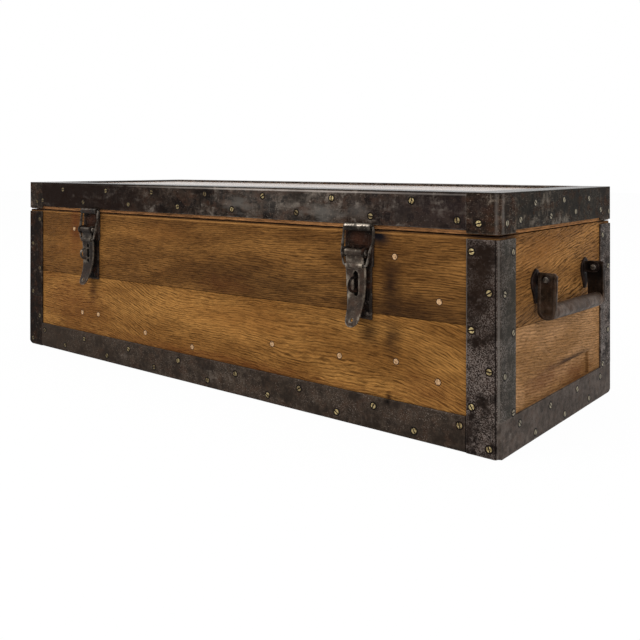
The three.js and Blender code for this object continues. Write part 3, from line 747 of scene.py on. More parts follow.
def cut_groove(built, place, face):
    """A narrow groove down the outer face, at a place along x."""
    half = CORNER_GROOVE_WIDTH / 2
    for value in (place - half, place, place + half):
        slice_mesh(built, 0, value)
    inward = -math.copysign(CORNER_GROOVE_DEPTH, face)
    for vert in built.verts:
        if abs(vert.co.x - place) < 0.02 * MM and abs(vert.co.y - face) < 0.02 * MM:
            vert.co.y += inward


def round_foot(built, corner_x, corner_y):
    """Rounds the lower end of an upright corner of the box, less on the near corner."""
    near = corner_x > 0 and corner_y < 0
    radius = NEAR_FOOT_ROUND if near else FOOT_ROUND
    for share in FOOT_SLICES:
        slice_mesh(built, 0, corner_x - math.copysign(radius * share, corner_x))
        slice_mesh(built, 1, corner_y - math.copysign(radius * share, corner_y))
    for vert in built.verts:
        away = math.hypot(vert.co.x - corner_x, vert.co.y - corner_y)
        if away < radius and vert.co.z < FOOT_REACH:
            lift = radius - math.sqrt(radius ** 2 - (radius - away) ** 2)
            vert.co.z += lift * (1.0 - vert.co.z / FOOT_REACH)


# Fasteners: one tree sets a head on each point, turned to face out of the surface

HEAD_CORNERS = 16

def fastener_tree(name, slotted):
    """A round head with a sloped rim in a thin dark ring. A slotted head is cut by a bar."""
    tree, entry, leave = new_group(name, "GeometryNodeTree", [
        ("Points", "NodeSocketGeometry", None),
        ("Head Radius", FLOAT, 3.8 * MM),
        ("Head Rise", FLOAT, 0.5 * MM),
        ("Head Sink", FLOAT, 1.0 * MM),
        ("Rim Share", FLOAT, 0.84),
        ("Ring Radius", FLOAT, 5.3 * MM),
        ("Ring Rise", FLOAT, 0.12 * MM),
        ("Slot Width", FLOAT, 1.6 * MM),
        ("Slot Depth", FLOAT, 0.8 * MM),
        ("Seed", "NodeSocketInt", 1),
        ("Finish", "NodeSocketMaterial", None),
    ], [("Geometry", "NodeSocketGeometry")])

    def lift(geometry, height):
        inputs = {"Geometry": geometry, "Translation": join_axes(tree, 0.0, 0.0, height)}
        return put(tree, "GeometryNodeTransform", inputs).outputs[0]

    def stored(geometry, label, value):
        inputs = {"Geometry": geometry, "Name": label, "Value": value}
        return put(tree, "GeometryNodeStoreNamedAttribute", inputs).outputs[0]

    def merge(operation, *meshes):
        """A boolean of whole meshes; a cut has its first mesh in a socket of its own."""
        made = put(tree, "GeometryNodeMeshBoolean", operation=operation, solver="EXACT")
        for step, mesh in enumerate(meshes):
            own = operation == "DIFFERENCE" and step == 0
            tree.links.new(mesh, made.inputs["Mesh 1" if own else "Mesh 2"])
        return made.outputs["Mesh"]

    head = put(tree, "GeometryNodeMeshCone", {
        "Vertices": HEAD_CORNERS,
        "Side Segments": 1,
        "Fill Segments": 1,
        "Radius Top": times(tree, entry["Head Radius"], entry["Rim Share"]),
        "Radius Bottom": entry["Head Radius"],
        "Depth": entry["Head Rise"],
    }, fill_type="NGON").outputs["Mesh"]
    if slotted:
        shank = put(tree, "GeometryNodeMeshCylinder", {
            "Vertices": HEAD_CORNERS,
            "Radius": entry["Head Radius"],
            "Depth": entry["Head Sink"],
        }, fill_type="NGON").outputs["Mesh"]
        shank = lift(shank, times(tree, entry["Head Sink"], -0.5))
        size = join_axes(tree, times(tree, entry["Head Radius"], 2.4), entry["Slot Width"],
                         times(tree, entry["Slot Depth"], 2.0))
        bar = put(tree, "GeometryNodeMeshCube", {"Size": size}).outputs["Mesh"]
        head = merge("DIFFERENCE", merge("UNION", head, shank), lift(bar, entry["Head Rise"]))
    ring = put(tree, "GeometryNodeMeshCone", {
        "Vertices": HEAD_CORNERS,
        "Radius Top": times(tree, entry["Ring Radius"], 0.96),
        "Radius Bottom": entry["Ring Radius"],
        "Depth": entry["Ring Rise"],
    }, fill_type="NGON").outputs["Mesh"]
    both = tree.nodes.new("GeometryNodeJoinGeometry")
    height = split_axes(tree, put(tree, "GeometryNodeInputPosition").outputs[0])[2]
    # Marks the ring round each head, and on a slotted head its slot and the foot of its rim, to be
    # darkened: painted shade with dirt, and the plugs' glue line
    low = maths(tree, "LESS_THAN", height, times(tree, entry["Head Rise"], 0.5))
    tree.links.new(stored(head, "shade_and_grime", low if slotted else 0.0), both.inputs[0])
    tree.links.new(stored(ring, "shade_and_grime", 1.0), both.inputs[0])

    out = put(tree, "GeometryNodeInputNamedAttribute", {"Name": "out"}, data_type="FLOAT_VECTOR")
    facing = put(tree, "FunctionNodeAlignRotationToVector", {"Vector": out.outputs[0]}, axis="Z")
    spin = put(tree, "FunctionNodeRandomValue", {"Max": math.pi, "Seed": entry["Seed"]}, data_type="FLOAT")
    turn = join_axes(tree, 0.0, 0.0, spin.outputs[1])
    local = put(tree, "FunctionNodeEulerToRotation", {0: turn}).outputs[0]
    inputs = {"Rotation": facing.outputs[0], "Rotate By": local}
    turned = put(tree, "FunctionNodeRotateRotation", inputs, rotation_space="LOCAL")
    placed = put(tree, "GeometryNodeInstanceOnPoints", {
        "Points": entry["Points"],
        "Instance": both.outputs[0],
        "Rotation": turned.outputs[0],
    })
    real = put(tree, "GeometryNodeRealizeInstances", {"Geometry": placed.outputs[0]})
    inputs = {"Geometry": real.outputs[0], "Material": entry["Finish"]}
    fill(tree, leave, {"Geometry": put(tree, "GeometryNodeSetMaterial", inputs).outputs[0]})
    return tree


def run_tree(name, built, tree, values):
    """Runs a geometry tree on a mesh and gives back the result as a plain mesh."""
    source = add_object(name, built)
    modifier = source.modifiers.new("tree", "NODES")
    modifier.node_group = tree
    sockets = {item.name: item.identifier for item in tree.interface.items_tree if item.in_out == "INPUT"}
    for label, value in values.items():
        modifier[sockets[label]] = value
    graph = bpy.context.evaluated_depsgraph_get()
    result = bpy.data.meshes.new_from_object(source.evaluated_get(graph))
    source.modifiers.remove(modifier)
    bpy.data.objects.remove(source)
    return result


def fasteners(name, points, tree, material, slot, body, **sizes):
    """Heads at the given pairs of place and outward direction, as one piece."""
    mesh = bpy.data.meshes.new(f"{name}_points")
    mesh.from_pydata([place for place, out in points], [], [])
    layer = mesh.attributes.new("out", "FLOAT_VECTOR", "POINT")
    for item, (place, out) in zip(layer.data, points):
        item.vector = out
    result = run_tree(f"{name}_source", mesh, tree, label_keys(sizes) | {"Finish": material})
    result.name = name
    piece = add_object(name, result)
    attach(piece, body)


# Places of the fasteners, in mm: along the face and up, on the front and on the right end
LID_LOW_ROW = (-433.8, -308, -183, -62, 56.6, 179.2, 301.8, 424.4)
LID_LOW_HEIGHT = 267
LID_HIGH_ROW = (-369, -243.5, -124.5, -1, 117.1, 239.7, 362.3)
LID_HIGH_HEIGHT = 288
CAP_SCREW_PLACE = 452
CAP_SCREW_HEIGHT = 264.5
LID_END_SCREWS = ((-162, 265), (-126.6, 267), (-85, 285.5), (-38.5, 267), (4, 286), (44, 269), (92, 285),
                  (138, 267.5), (172, 264))
BASE_HIGH_ROW = (-426.9, -304.7, -182.5, -60.3, 63, 184.1, 306.3, 427.5)
BASE_HIGH_HEIGHT = 30
BASE_LOW_ROW = (-362, -239.8, -117.6, 5, 126.8, 248, 366)
BASE_LOW_HEIGHT = 11
BASE_END_SCREWS = ((-129, 30), (-85, 8), (-40, 30), (6, 8), (49, 31), (92, 9), (136, 30))
LEG_FRONT_SCREWS = ((35, 232), (13, 186.5), (35, 142), (13, 97.8), (35, 54.3), (13, 10.7))
LEG_END_SCREWS = ((35, 231), (13, 185), (35, 138), (13, 92), (35, 46.5))
FRONT_PLUGS = ((-337.8, 219.3), (-313.8, 75.1), (-267.8, 76.7), (-142.4, 61.8), (-31.3, 54.8),
               (132.8, 82.3), (250.9, 83.8), (338.5, 89.8), (397.5, 74.5), (336.6, 218.3), (399.3, 169.5))
HINGE_SPACING = 280
HINGE_REACH = 40
HINGE_SCREW_STEPS = (-24, 0, 24)
HINGE_BODY_SCREW = (224, 180.5)
HINGE_LID_SCREW = (283, 183)


def front_point(x, z, side, face=HALF_WIDTH):
    """A place on the front, side -1, or the back, side 1, and the way out of it."""
    return Vector((x * MM, side * face, z * MM)), Vector((0, side, 0))


def end_point(y, z, side):
    return Vector((side * HALF_LENGTH, y * MM, z * MM)), Vector((side, 0, 0))


def hinge_screw_points(z, face):
    """Screws in the leaves of both hinges at the back."""
    places = [side * HINGE_SPACING + step for side in (-1, 1) for step in HINGE_SCREW_STEPS]
    return [front_point(x, z, 1, face * MM) for x in places]


def lid_screw_points():
    """The lid's screws. At the back the strip has none where a hinge would cover it."""
    points = hinge_screw_points(*HINGE_LID_SCREW)
    for side in (-1, 1):
        for row, height in ((LID_LOW_ROW, LID_LOW_HEIGHT), (LID_HIGH_ROW, LID_HIGH_HEIGHT)):
            free = [x for x in row if side < 0 or abs(abs(x) - HINGE_SPACING) > HINGE_REACH]
            points += [front_point(x, height, side) for x in free]
        points += [front_point(x, CAP_SCREW_HEIGHT, side) for x in (CAP_SCREW_PLACE, -CAP_SCREW_PLACE)]
        points += [end_point(y, z, side) for y, z in LID_END_SCREWS]
    return points


def body_screw_points():
    points = hinge_screw_points(*HINGE_BODY_SCREW)
    for side in (-1, 1):
        for row, height in ((BASE_HIGH_ROW, BASE_HIGH_HEIGHT), (BASE_LOW_ROW, BASE_LOW_HEIGHT)):
            points += [front_point(x, height, side) for x in row]
        points += [end_point(y, z, side) for y, z in BASE_END_SCREWS]
        for inset, z in LEG_FRONT_SCREWS:
            from_corner = HALF_LENGTH / MM - inset
            points += [front_point(from_corner, z, side), front_point(-from_corner, z, side)]
        for inset, z in LEG_END_SCREWS:
            from_corner = HALF_WIDTH / MM - inset
            points += [end_point(from_corner, z, side), end_point(-from_corner, z, side)]
    return points


# The stage, the lights and the camera

FLOOR_REACH = 9.0
FLOOR_DROP = 0.3 * MM
FLOOR_GLOW_SHARE = 0.975
AMBIENT = 0.62
LAMP_AIM = Vector((0, 0, 0.1))


def seen_plain(tree):
    """1 for what the camera, a reflection or a see-through piece shows, 0 for light on the object."""
    light = put(tree, "ShaderNodeLightPath").outputs
    seen = maths(tree, "MAXIMUM", light["Is Camera Ray"], light["Is Glossy Ray"])
    return maths(tree, "MAXIMUM", seen, light["Is Transmission Ray"])


def stage():
    """A pale floor that looks white and keeps the object's shadow."""
    material, tree, shader = new_material("stage_floor")
    fill(tree, shader, {"Base Color": srgb(236, 236, 236), "Roughness": 0.9, "Specular IOR Level": 0.1})
    glow = put(tree, "ShaderNodeEmission", {"Color": (1, 1, 1, 1), "Strength": 1.0}).outputs[0]
    surface = tree.nodes["Principled BSDF"].outputs[0]
    share = times(tree, seen_plain(tree), FLOOR_GLOW_SHARE)
    mixed = put(tree, "ShaderNodeMixShader", {0: share, 1: surface, 2: glow}).outputs[0]
    fill(tree, tree.nodes["Material Output"].inputs, {"Surface": mixed})
    mesh = bpy.data.meshes.new("floor")
    corners = ((-1, -1), (1, -1), (1, 1), (-1, 1))
    places = [(x * FLOOR_REACH, y * FLOOR_REACH, -FLOOR_DROP) for x, y in corners]
    mesh.from_pydata(places, [], [(0, 1, 2, 3)])
    mesh.materials.append(material)
    add_object("floor", mesh)


def world():
    """White where it is seen, dimmer as light on the object."""
    SCENE.world = bpy.data.worlds.new("studio")
    SCENE.world.use_nodes = True
    tree = SCENE.world.node_tree
    strength = maths(tree, "MULTIPLY_ADD", seen_plain(tree), 1.0 - AMBIENT, AMBIENT)
    fill(tree, tree.nodes["Background"].inputs, {"Color": (1, 1, 1, 1), "Strength": strength})


def softbox(name, place, width, height, power):
    """A soft lamp that faces the chest."""
    data = bpy.data.lights.new(name, "AREA")
    data.shape = "RECTANGLE"
    data.size = width
    data.size_y = height
    data.energy = power
    lamp = add_object(name, data)
    lamp.location = place
    lamp.rotation_euler = (LAMP_AIM - Vector(place)).to_track_quat("-Z", "Y").to_euler()


def camera():
    data = bpy.data.cameras.new("camera")
    data.lens = CAMERA_LENS
    data.sensor_width = 36.0
    data.shift_y = CAMERA_SHIFT
    SCENE.camera = add_object("camera", data)
    SCENE.camera.location = CAMERA_PLACE
    SCENE.camera.rotation_euler = (math.pi / 2, 0.0, CAMERA_TURN)


camera()
stage()
world()
softbox("key", (-1.4, -2.6, 2.4), 2.2, 1.6, 60)
softbox("side", (2.8, -0.9, 1.8), 1.8, 1.6, 34)
softbox("top", (0.2, 0.6, 3.0), 2.4, 2.0, 30)

# Patches seen on the boards, stains and painted shade, shadow and highlight: middle and reach in mm,
# raggedness, strength, colour
INK = srgb(24, 21, 24)
# Painted shade on the wood in the gaps between the lid's corner caps and the legs
CORNER_GAP_SHADE = (
    ((455, -178, 250), (38, 30, 9), 0.15, 1.0, STAIN_AND_SHADE),
    ((-455, -178, 250), (38, 30, 9), 0.15, 1.0, STAIN_AND_SHADE),
    ((475, -160, 250), (30, 38, 9), 0.15, 1.0, STAIN_AND_SHADE),
    ((475, 160, 250), (30, 38, 9), 0.15, 1.0, STAIN_AND_SHADE),
)
UPPER_STAINS_AND_PAINTED_LIGHT = CORNER_GAP_SHADE + (
    ((112, -176, 166), (205, 20, 40), 0.5, 0.62, STAIN_AND_SHADE),
    ((40, -176, 156), (75, 20, 20), 0.7, 0.3, REDDISH),
    ((350, -176, 148), (130, 20, 38), 0.5, 0.85, STAIN_AND_SHADE),
    # Painted shadow: a dark upright smudge on the wood right of the right latch
    ((331, -176, 184), (19, 20, 52), 0.4, 1.0, STAIN_AND_SHADE),
    ((312, -176, 242), (24, 20, 17), 0.3, 1.3, INK),
    # Painted highlight along the top edge of the upper board
    ((0, -178.5, 246.8), (900, 30, 1.6), 0.3, 0.7, EDGE_HIGHLIGHT),
    # Painted shade: a dark line along the parting gap under the lid
    ((0, -178.5, 250), (3000, 30, 2), 0.1, 1.0, STAIN_AND_SHADE),
    ((-330, -176, 190), (90, 20, 50), 0.6, 0.35, GLOW),
    ((-333, -176, 222), (22, 20, 52), 0.5, 0.8, REDDISH),
    ((-120, -176, 222), (120, 20, 18), 0.6, 0.25, GLOW),
)
LOWER_STAINS_AND_SHADOWS = (
    ((-284, -176, 114), (15, 20, 26), 0.45, 0.7, STAIN_AND_SHADE),
    # Painted shadows: under the right latch's plate, and a dark upright smudge right of that latch
    ((298, -176, 121), (22, 20, 24), 0.5, 0.8, STAIN_AND_SHADE),
    ((331, -176, 117), (18, 20, 34), 0.7, 0.8, STAIN_AND_SHADE),
    ((327.9, -176, 44.5), (7, 20, 6), 0.3, 1.2, STAIN_AND_SHADE),
    ((0, -176, 44), (460, 20, 14), 0.6, 0.6, REDDISH),
    ((390, -176, 60), (60, 20, 30), 0.6, 0.5, REDDISH),
    ((-345, -176, 95), (130, 20, 60), 0.6, 0.5, REDDISH),
    ((60, -176, 108), (190, 20, 34), 0.7, 0.3, GLOW),
)
# Stains on the end, with the painted shade of the corner gaps
END_STAINS_AND_GAP_SHADE = CORNER_GAP_SHADE + (
    ((475, -60, 225), (20, 90, 26), 0.6, 0.35, GLOW),
    ((475, 40, 150), (20, 120, 14), 0.6, 0.4, STAIN_AND_SHADE),
    ((475, -105, 150), (20, 60, 26), 0.6, 0.5, STAIN_AND_SHADE),
)
END_LOWER_STAINS_AND_SHADOW = (
    # Painted shadow: a dark line under the top edge of the recess in the lower end board
    ((474, 30, 75), (20, 100, 6), 0.4, 1.0, STAIN_AND_SHADE),
    ((474, -40, 62), (20, 80, 22), 0.6, 0.6, REDDISH),
    ((474, 60, 50), (20, 60, 20), 0.6, 0.7, REDDISH),
)
RIM_FIGURE = {"heart_across": -90, "heart_depth": 20, "slope": 0.01, "ring_width": 2.6, "waver": 5,
              "pore_length": 22, "pore_width": 1.2, "pore_share": 0.35}
FLAT_FIGURE = {"heart_across": 260, "heart_depth": 15, "turn_start": -200, "turn_length": 300,
               "turn_rise": 60, "slope": 0.04, "ring_width": 5.5, "waver": 14, "pore_length": 15,
               "pore_width": 1.3, "pore_share": 0.4}

upper_oak = oak("brown_oak_front", GRAIN_ALONG_X, BROWN_OAK, UPPER_STAINS_AND_PAINTED_LIGHT,
                heart_across=330, heart_depth=30, turn_start=120, turn_length=200, turn_rise=10,
                slope=0.01, ring_width=3.0, waver=11, pore_length=17, pore_width=1.15, pore_share=0.43,
                pore_strength=0.62)
lower_oak = oak("golden_oak_front", GRAIN_ALONG_X, GOLDEN_OAK, LOWER_STAINS_AND_SHADOWS,
                heart_across=-90, heart_depth=20, turn_start=-270, turn_length=175, turn_rise=-36,
                slope=0.02, ring_width=3.7, waver=18, pore_length=19, pore_width=1.3, pore_share=0.4,
                pore_strength=0.7, fall_start=280, fall_rate=0.1)
end_upper_oak = oak("brown_oak_end", GRAIN_ALONG_Y, END_OAK, END_STAINS_AND_GAP_SHADE,
                    heart_across=400, heart_depth=20, slope=-0.15, ring_width=4.2, waver=20,
                    pore_length=17, pore_width=1.4, pore_share=0.48, pore_strength=0.75)
end_lower_oak = oak("golden_oak_end", GRAIN_ALONG_Y, PALE_OAK, END_LOWER_STAINS_AND_SHADOW,
                    heart_across=-150, heart_depth=20, slope=0.1, ring_width=3.4, waver=12,
                    pore_length=9, pore_width=1.1, pore_share=0.42, pore_strength=0.5)
back_oak = oak("golden_oak_back", GRAIN_ALONG_X, GOLDEN_OAK, shift=(120, 0, 10),
               heart_across=-120, heart_depth=26, turn_start=-100, turn_length=240, turn_rise=50,
               slope=0.03, ring_width=5.5, waver=13, pore_length=16, pore_width=1.3, pore_share=0.45)
lid_rim_oak = oak("red_oak_rim", GRAIN_ALONG_X, RED_OAK, CORNER_GAP_SHADE, (40, 0, 8),
                  crevice_reach=2 * MM, **RIM_FIGURE)
lid_rim_end_oak = oak("red_oak_rim_end", GRAIN_ALONG_Y, RIM_OAK, CORNER_GAP_SHADE, (10, 0, 8),
                      crevice_reach=2 * MM, **RIM_FIGURE)
lid_top_oak = oak("brown_oak_top", GRAIN_ON_TOP, BROWN_OAK, shift=(0, 0, 4), gloss=0.2, polish=0.78,
                  **FLAT_FIGURE)
bottom_oak = oak("brown_oak_bottom", GRAIN_ON_TOP, END_OAK, shift=(90, 40, 7), **FLAT_FIGURE)

# Patches seen on the steel, in the same way, some of them painted highlight and shade
LID_STRIP_PATCHES = (
    # Painted highlight: a pale line along the front strip's top edge
    ((140, -181, 296.7), (460, 10, 1.7), 0.4, 1.0, TOP_EDGE_HIGHLIGHT),
    ((150, -181, 282), (180, 60, 30), 0.9, 0.15, PALE_GREY),
    ((70, -181, 276), (36, 20, 15), 1.0, 0.4, COOL_GREY),
    ((222, -181, 270), (42, 20, 15), 1.0, 0.4, COOL_GREY),
    ((284, -181, 272), (26, 20, 11), 1.0, 0.35, PALE_GREY),
    ((-5, -181, 292), (28, 20, 9), 0.9, 1.0, BLACK_STEEL[0]),
    ((-93, -181, 262), (22, 20, 10), 0.9, 1.0, BLACK_STEEL[0]),
    ((180, -181, 288), (28, 20, 13), 0.8, 0.8, BLACK_STEEL[1]),
    ((357, -181, 277), (46, 20, 32), 0.9, 0.4, GREEN_BLACK),
    ((400, -181, 278), (160, 60, 50), 0.5, 0.7, PLUM),
    ((-380, -181, 278), (430, 60, 90), 0.6, 1.25, FAR_STEEL),
)
CAP_PATCHES = (
    ((474, -181, 276), (3, 5, 60), 0.35, 0.4, PALE_GREY),
    ((478, -172, 276), (5, 5, 60), 0.5, 0.45, PALE_GREY),
    ((452, -181, 283), (26, 10, 18), 0.5, 0.6, PLUM),
)
NEAR_LEG_PATCHES = (
    ((478, -128, 130), (4, 90, 900), 0.2, 0.75, SMOOTH_STEEL),
    # Painted highlight: a pale streak down the rounded bend of the near leg
    ((476.2, -179.8, 130), (2.2, 2.2, 260), 0.3, 0.8, PALE_GREY),
    ((436.7, -181, 200), (1.2, 4, 150), 0.3, 0.8, PALE_GREY),
    ((452, -181, 200), (40, 20, 90), 0.5, 0.9, DARK_STEEL[1]),
    # Painted shade: a black line in the groove beside the bend
    ((472.8, -181, 130), (1.5, 3, 300), 0.1, 1.1, BLACK_STEEL[0]),
)
BASE_PATCHES = (
    ((436, -181, 20), (1.6, 6, 80), 0.0, 1.5, BLACK_STEEL[0]),
    ((-436, -181, 20), (1.6, 6, 80), 0.0, 1.5, BLACK_STEEL[0]),
    ((327.9, -181, 39), (6, 8, 6), 0.3, 1.0, BLACK_STEEL[0]),
    ((-440, -181, 20), (330, 20, 200), 0.5, 0.6, FAR_BASE),
)
PLATE_PATCHES = (
    ((-284, -181, 238), (22, 12, 14), 0.9, 0.7, RUST_BROWN),
    ((284, -181, 238), (22, 12, 14), 0.9, 0.7, RUST_BROWN),
)
LEFT_LATCH_PATCHES = (((-284, -190, 210), (70, 60, 110), 0.2, 0.75, BLACK_STEEL[1]),)
HANDLE_PATCHES = (
    # Painted shade: the far arm's inner face made near-black
    ((492, 80, 186), (45, 18, 34), 0.2, 1.1, BLACK_STEEL[0]),
    ((496, 0, 158), (34, 84, 18), 0.1, 0.7, GRIP_GREY),
)

base_steel = steel("base_steel", BASE_STEEL, rubbed=0.22, specks=0.5, rust=0.25, streaks=0.2,
                   patches=BASE_PATCHES, edges=0.35, blots=0.12, blot_length=11)
lid_steel = steel("lid_steel", STRAP_STEEL, rubbed=0.45, specks=0.3, rust=0.4, streaks=0.35,
                  patches=LID_STRIP_PATCHES, blots=0.95, blot_length=19, top_sheen=TOP_SHEEN)
lid_back_steel = steel("lid_back_steel", STRAP_STEEL, rubbed=0.4, specks=0.5, rust=0.5, streaks=0.35)
end_steel = steel("end_steel", GREY_STEEL, rubbed=0.2, specks=0.15, rust=0.2, streaks=0.2, edges=0.4,
                  blots=0.3)
lid_end_steel = steel("lid_end_steel", LID_END_STEEL, rubbed=0.3, specks=0.35, rust=0.35, streaks=0.5,
                      edges=0.3, top_sheen=TOP_SHEEN)
cap_steel = steel("cap_steel", CAP_STEEL, rubbed=0.3, specks=0.4, rust=0.5, streaks=0.6,
                  patches=CAP_PATCHES, edges=0.45, top_sheen=TOP_SHEEN)
near_leg_steel = steel("near_leg_steel", LEG_STEEL, rubbed=0.3, specks=1.0, rust=0.2, streaks=0.2,
                       patches=NEAR_LEG_PATCHES, edges=0.6)
far_leg_steel = steel("far_leg_steel", DARK_STEEL, rubbed=0.2, specks=0.4, rust=0.35)
latch_steel = steel("latch_steel", LATCH_STEEL, rubbed=0.35, specks=0.3, rust=0.4, edges=0.9, gloss=0.06)
plate_steel = steel("plate_steel", BLACK_STEEL, rubbed=0.1, specks=0.2, rust=0.5, patches=PLATE_PATCHES,
                    edges=0.35)
worn_steel = steel("worn_steel", LATCH_STEEL, rubbed=0.55, specks=0.4, rust=0.25, edges=0.9, gloss=0.06)
lever_steel = steel("lever_steel", LEVER_STEEL, rubbed=0.0, specks=0.0, rust=0.3,
                    patches=LEFT_LATCH_PATCHES, edges=0.8, blots=0.12, gloss=0.06)
wire_steel = steel("wire_steel", LATCH_STEEL, rubbed=0.1, specks=0.1, rust=0.3, blots=0.2, edges=0.95,
                   gloss=0.06)
handle_steel = steel("handle_steel", HANDLE_STEEL, rubbed=0.15, specks=0.08, rust=0.3,
                     patches=HANDLE_PATCHES, edges=0.9, blots=0.15, gloss=0.05)
bracket_steel = steel("bracket_steel", BRACKET_STEEL, rubbed=0.1, specks=0.2, rust=0.2)
dome_steel = steel("dome_steel", LATCH_STEEL, rubbed=0.6, specks=0.2, rust=0.1, edges=1.0, gloss=0.14)

# The box and its binding

for side in ("front", "back"):
    board(f"{side}_upper_board", upper_oak if side == "front" else back_oak)
    board(f"{side}_lower_board", lower_oak if side == "front" else back_oak, "golden_oak")
    board(f"bottom_board_{side}", bottom_oak)
    board(f"lid_board_{side}", lid_top_oak)
    board(f"lid_rim_{side}", lid_rim_oak, raise_foot=LID_GAP)
for side in ("left", "right"):
    board(f"{side}_end_upper_board", end_upper_oak)
    board(f"{side}_end_lower_board", end_lower_oak, "golden_oak")
    board(f"lid_rim_{side}", lid_rim_end_oak, raise_foot=LID_GAP)

for face, sign_y in (("front", -1), ("back", 1)):
    outer_y = sign_y * HALF_WIDTH
    steel_angle(f"base_angle_{face}", base_steel, [([(1, outer_y), (2, 0.0)], BEND_RADIUS)])
    strip_steel = lid_steel if face == "front" else lid_back_steel
    steel_angle(f"lid_strip_{face}", strip_steel, [([(1, outer_y), (2, LID_TOP)], BEND_RADIUS)])
    for side, sign_x in (("left", -1), ("right", 1)):
        outer_x = sign_x * HALF_LENGTH
        upright = [(0, outer_x), (1, outer_y)]
        groove_x = outer_x - sign_x * CORNER_GROOVE_INSET
        leg_steel = near_leg_steel if side == "right" else far_leg_steel
        steel_angle(f"corner_angle_{face}_{side}", leg_steel, [(upright, LEG_BEND_RADIUS)],
                    (groove_x, outer_y), [(outer_x, outer_y)])
        steel_angle(f"lid_cap_{face}_{side}", cap_steel, [
            (upright, CAP_BEND_RADIUS),
            ([(0, outer_x), (2, LID_TOP)], BEND_RADIUS),
            ([(1, outer_y), (2, LID_TOP)], BEND_RADIUS),
        ])
for side, sign_x in (("left", -1), ("right", 1)):
    outer_x = sign_x * HALF_LENGTH
    corners = [(outer_x, -HALF_WIDTH), (outer_x, HALF_WIDTH)]
    bends = [([(0, x), (1, y)], CAP_BEND_RADIUS) for x, y in corners]
    bends.append(([(0, outer_x), (2, 0.0)], BEND_RADIUS))
    steel_angle(f"base_angle_{side}", end_steel, bends, foot_corners=corners)
    steel_angle(f"lid_strip_{side}", lid_end_steel, [([(0, outer_x), (2, LID_TOP)], BEND_RADIUS)])

screw_tree = fastener_tree("slotted_screws", slotted=True)
plug_tree = fastener_tree("round_plugs", slotted=False)
brass_finish = brass()
fasteners("body_screws", body_screw_points(), screw_tree, brass_finish, "brass_screws", "body", seed=3)
fasteners("lid_screws", lid_screw_points(), screw_tree, brass_finish, "brass_screws", "lid", seed=8)
plug_points = [front_point(x, z, -1, WOOD_FRONT) for x, z in FRONT_PLUGS]
fasteners("front_plugs", plug_points, plug_tree, plug_wood(), "oak_plugs", "body", seed=5,
          head_radius=3.6 * MM, head_rise=0.25 * MM, rim_share=0.95, ring_radius=4.5 * MM,
          ring_rise=0.06 * MM)


# Latches and handles: sizes of all fittings, the latch's parts and the handle's parts

FITTING_EASE = 0.35 * MM
FITTING_SLICE = 3 * MM
FITTING_WEAR_REACH = 1.4 * MM
PIN_EASE = 0.25 * MM

LATCH_PLACE = 284 * MM
PLATE_FACE_Y = 181 * MM
PLATE_FRAME_HALF = 16.2 * MM
PLATE_FRAME_LOW = 229.5 * MM
PLATE_FRAME_HIGH = 246.5 * MM
PLATE_FRAME_WIDTH = 1.5 * MM
PLATE_FRAME_RISE = 0.7 * MM
PLATE_DIMPLES = ((-8, 240), (-3, 236), (3, 239), (8, 235), (0, 242), (-10, 234), (11, 241))
DIMPLE_RADIUS = 2.6 * MM
DIMPLE_RISE = 0.45 * MM
PLATE_RIVETS = (-11, 11)
RIVET_INSET = 7 * MM
RIVET_RADIUS = 3.0 * MM
RIVET_RISE = 0.9 * MM
PLATE_WEAR = 0.45

BARREL_Y = -190.5 * MM
BARREL_Z = 221.5 * MM
BARREL_RADIUS = 5 * MM
LEVER_FACE_INSET = 10 * MM
LEVER_EASE = 0.4 * MM
LEVER_SLICE = 2.6 * MM
LEVER_WEAR_REACH = 1.1 * MM
# Painted highlights on the lever: across and height of each spot, and its reach, in mm
LEVER_HIGHLIGHT_SPOTS = ((-10, 207, 7), (-3, 207, 7), (4, 207, 7), (10, 207, 6), (-12, 186, 8), (-9, 166, 7))

KEEPER_Y = -186.0 * MM
KEEPER_Z = 253 * MM
KEEPER_SHIFT = 3.0
KEEPER_ROLL = 5.2 * MM
KEEPER_SHEET = 1.5 * MM
KEEPER_ROLL_START = 100
KEEPER_ROLL_END = -245
KEEPER_WEAR_REACH = 1.2 * MM

BAIL_FOOT_Y = -189.5 * MM
BAIL_END_INSET = 1.5 * MM
BAIL_BEND_RADIUS = 3.2 * MM
BAIL_HALF_THICK = 0.95
BAIL_HALF_DEEP = 2.3
BAIL_FOOT_RADIUS = 1.45
BAIL_WEAR = 0.38
STAPLE_RADIUS = 1.75 * MM

HANDLE_PIVOT_Z = 193 * MM
HANDLE_DROP = 37 * MM
ARM_THICK = 3 * MM
ARM_FOOT_RADIUS = 11.5 * MM
ARM_SHOULDER = 11 * MM
ARM_NECK = 8 * MM
ARM_CORNER = 2 * MM
ARM_BORDER = 3.0 * MM
ARM_BORDER_SLOPE = 0.9 * MM
ARM_PANEL_DEPTH = 0.9 * MM
ARM_FLANGE = 6.0 * MM
ARM_FLANGE_THICK = 2.2 * MM
ARM_FLANGE_RISE = 5 * MM
ARM_EASE = 0.7 * MM
ARM_WEAR_SHARE = 0.28
GRIP_RADIUS = 9.2 * MM
GRIP_SHEET = 2.3 * MM
GRIP_OPENING = 120
GRIP_END_INSET = 1.6 * MM
GRIP_SLICES = 24
GRIP_BELLY = 0.04
GRIP_DROOP = 4.5 * MM
GRIP_SPLAY = 3.5 * MM
BEND_START = 9 * MM
BEND_RUN = 28 * MM
HANDLE_SLICE = 4 * MM
DOME_RADIUS = 3.6 * MM
DOME_RISE = 1.4 * MM
DOME_INSET = 0.2 * MM
INNER_DOME_RISE = 1.6 * MM
INNER_DOME_SINK = 0.5 * MM
DOME_FLAT = 0.3


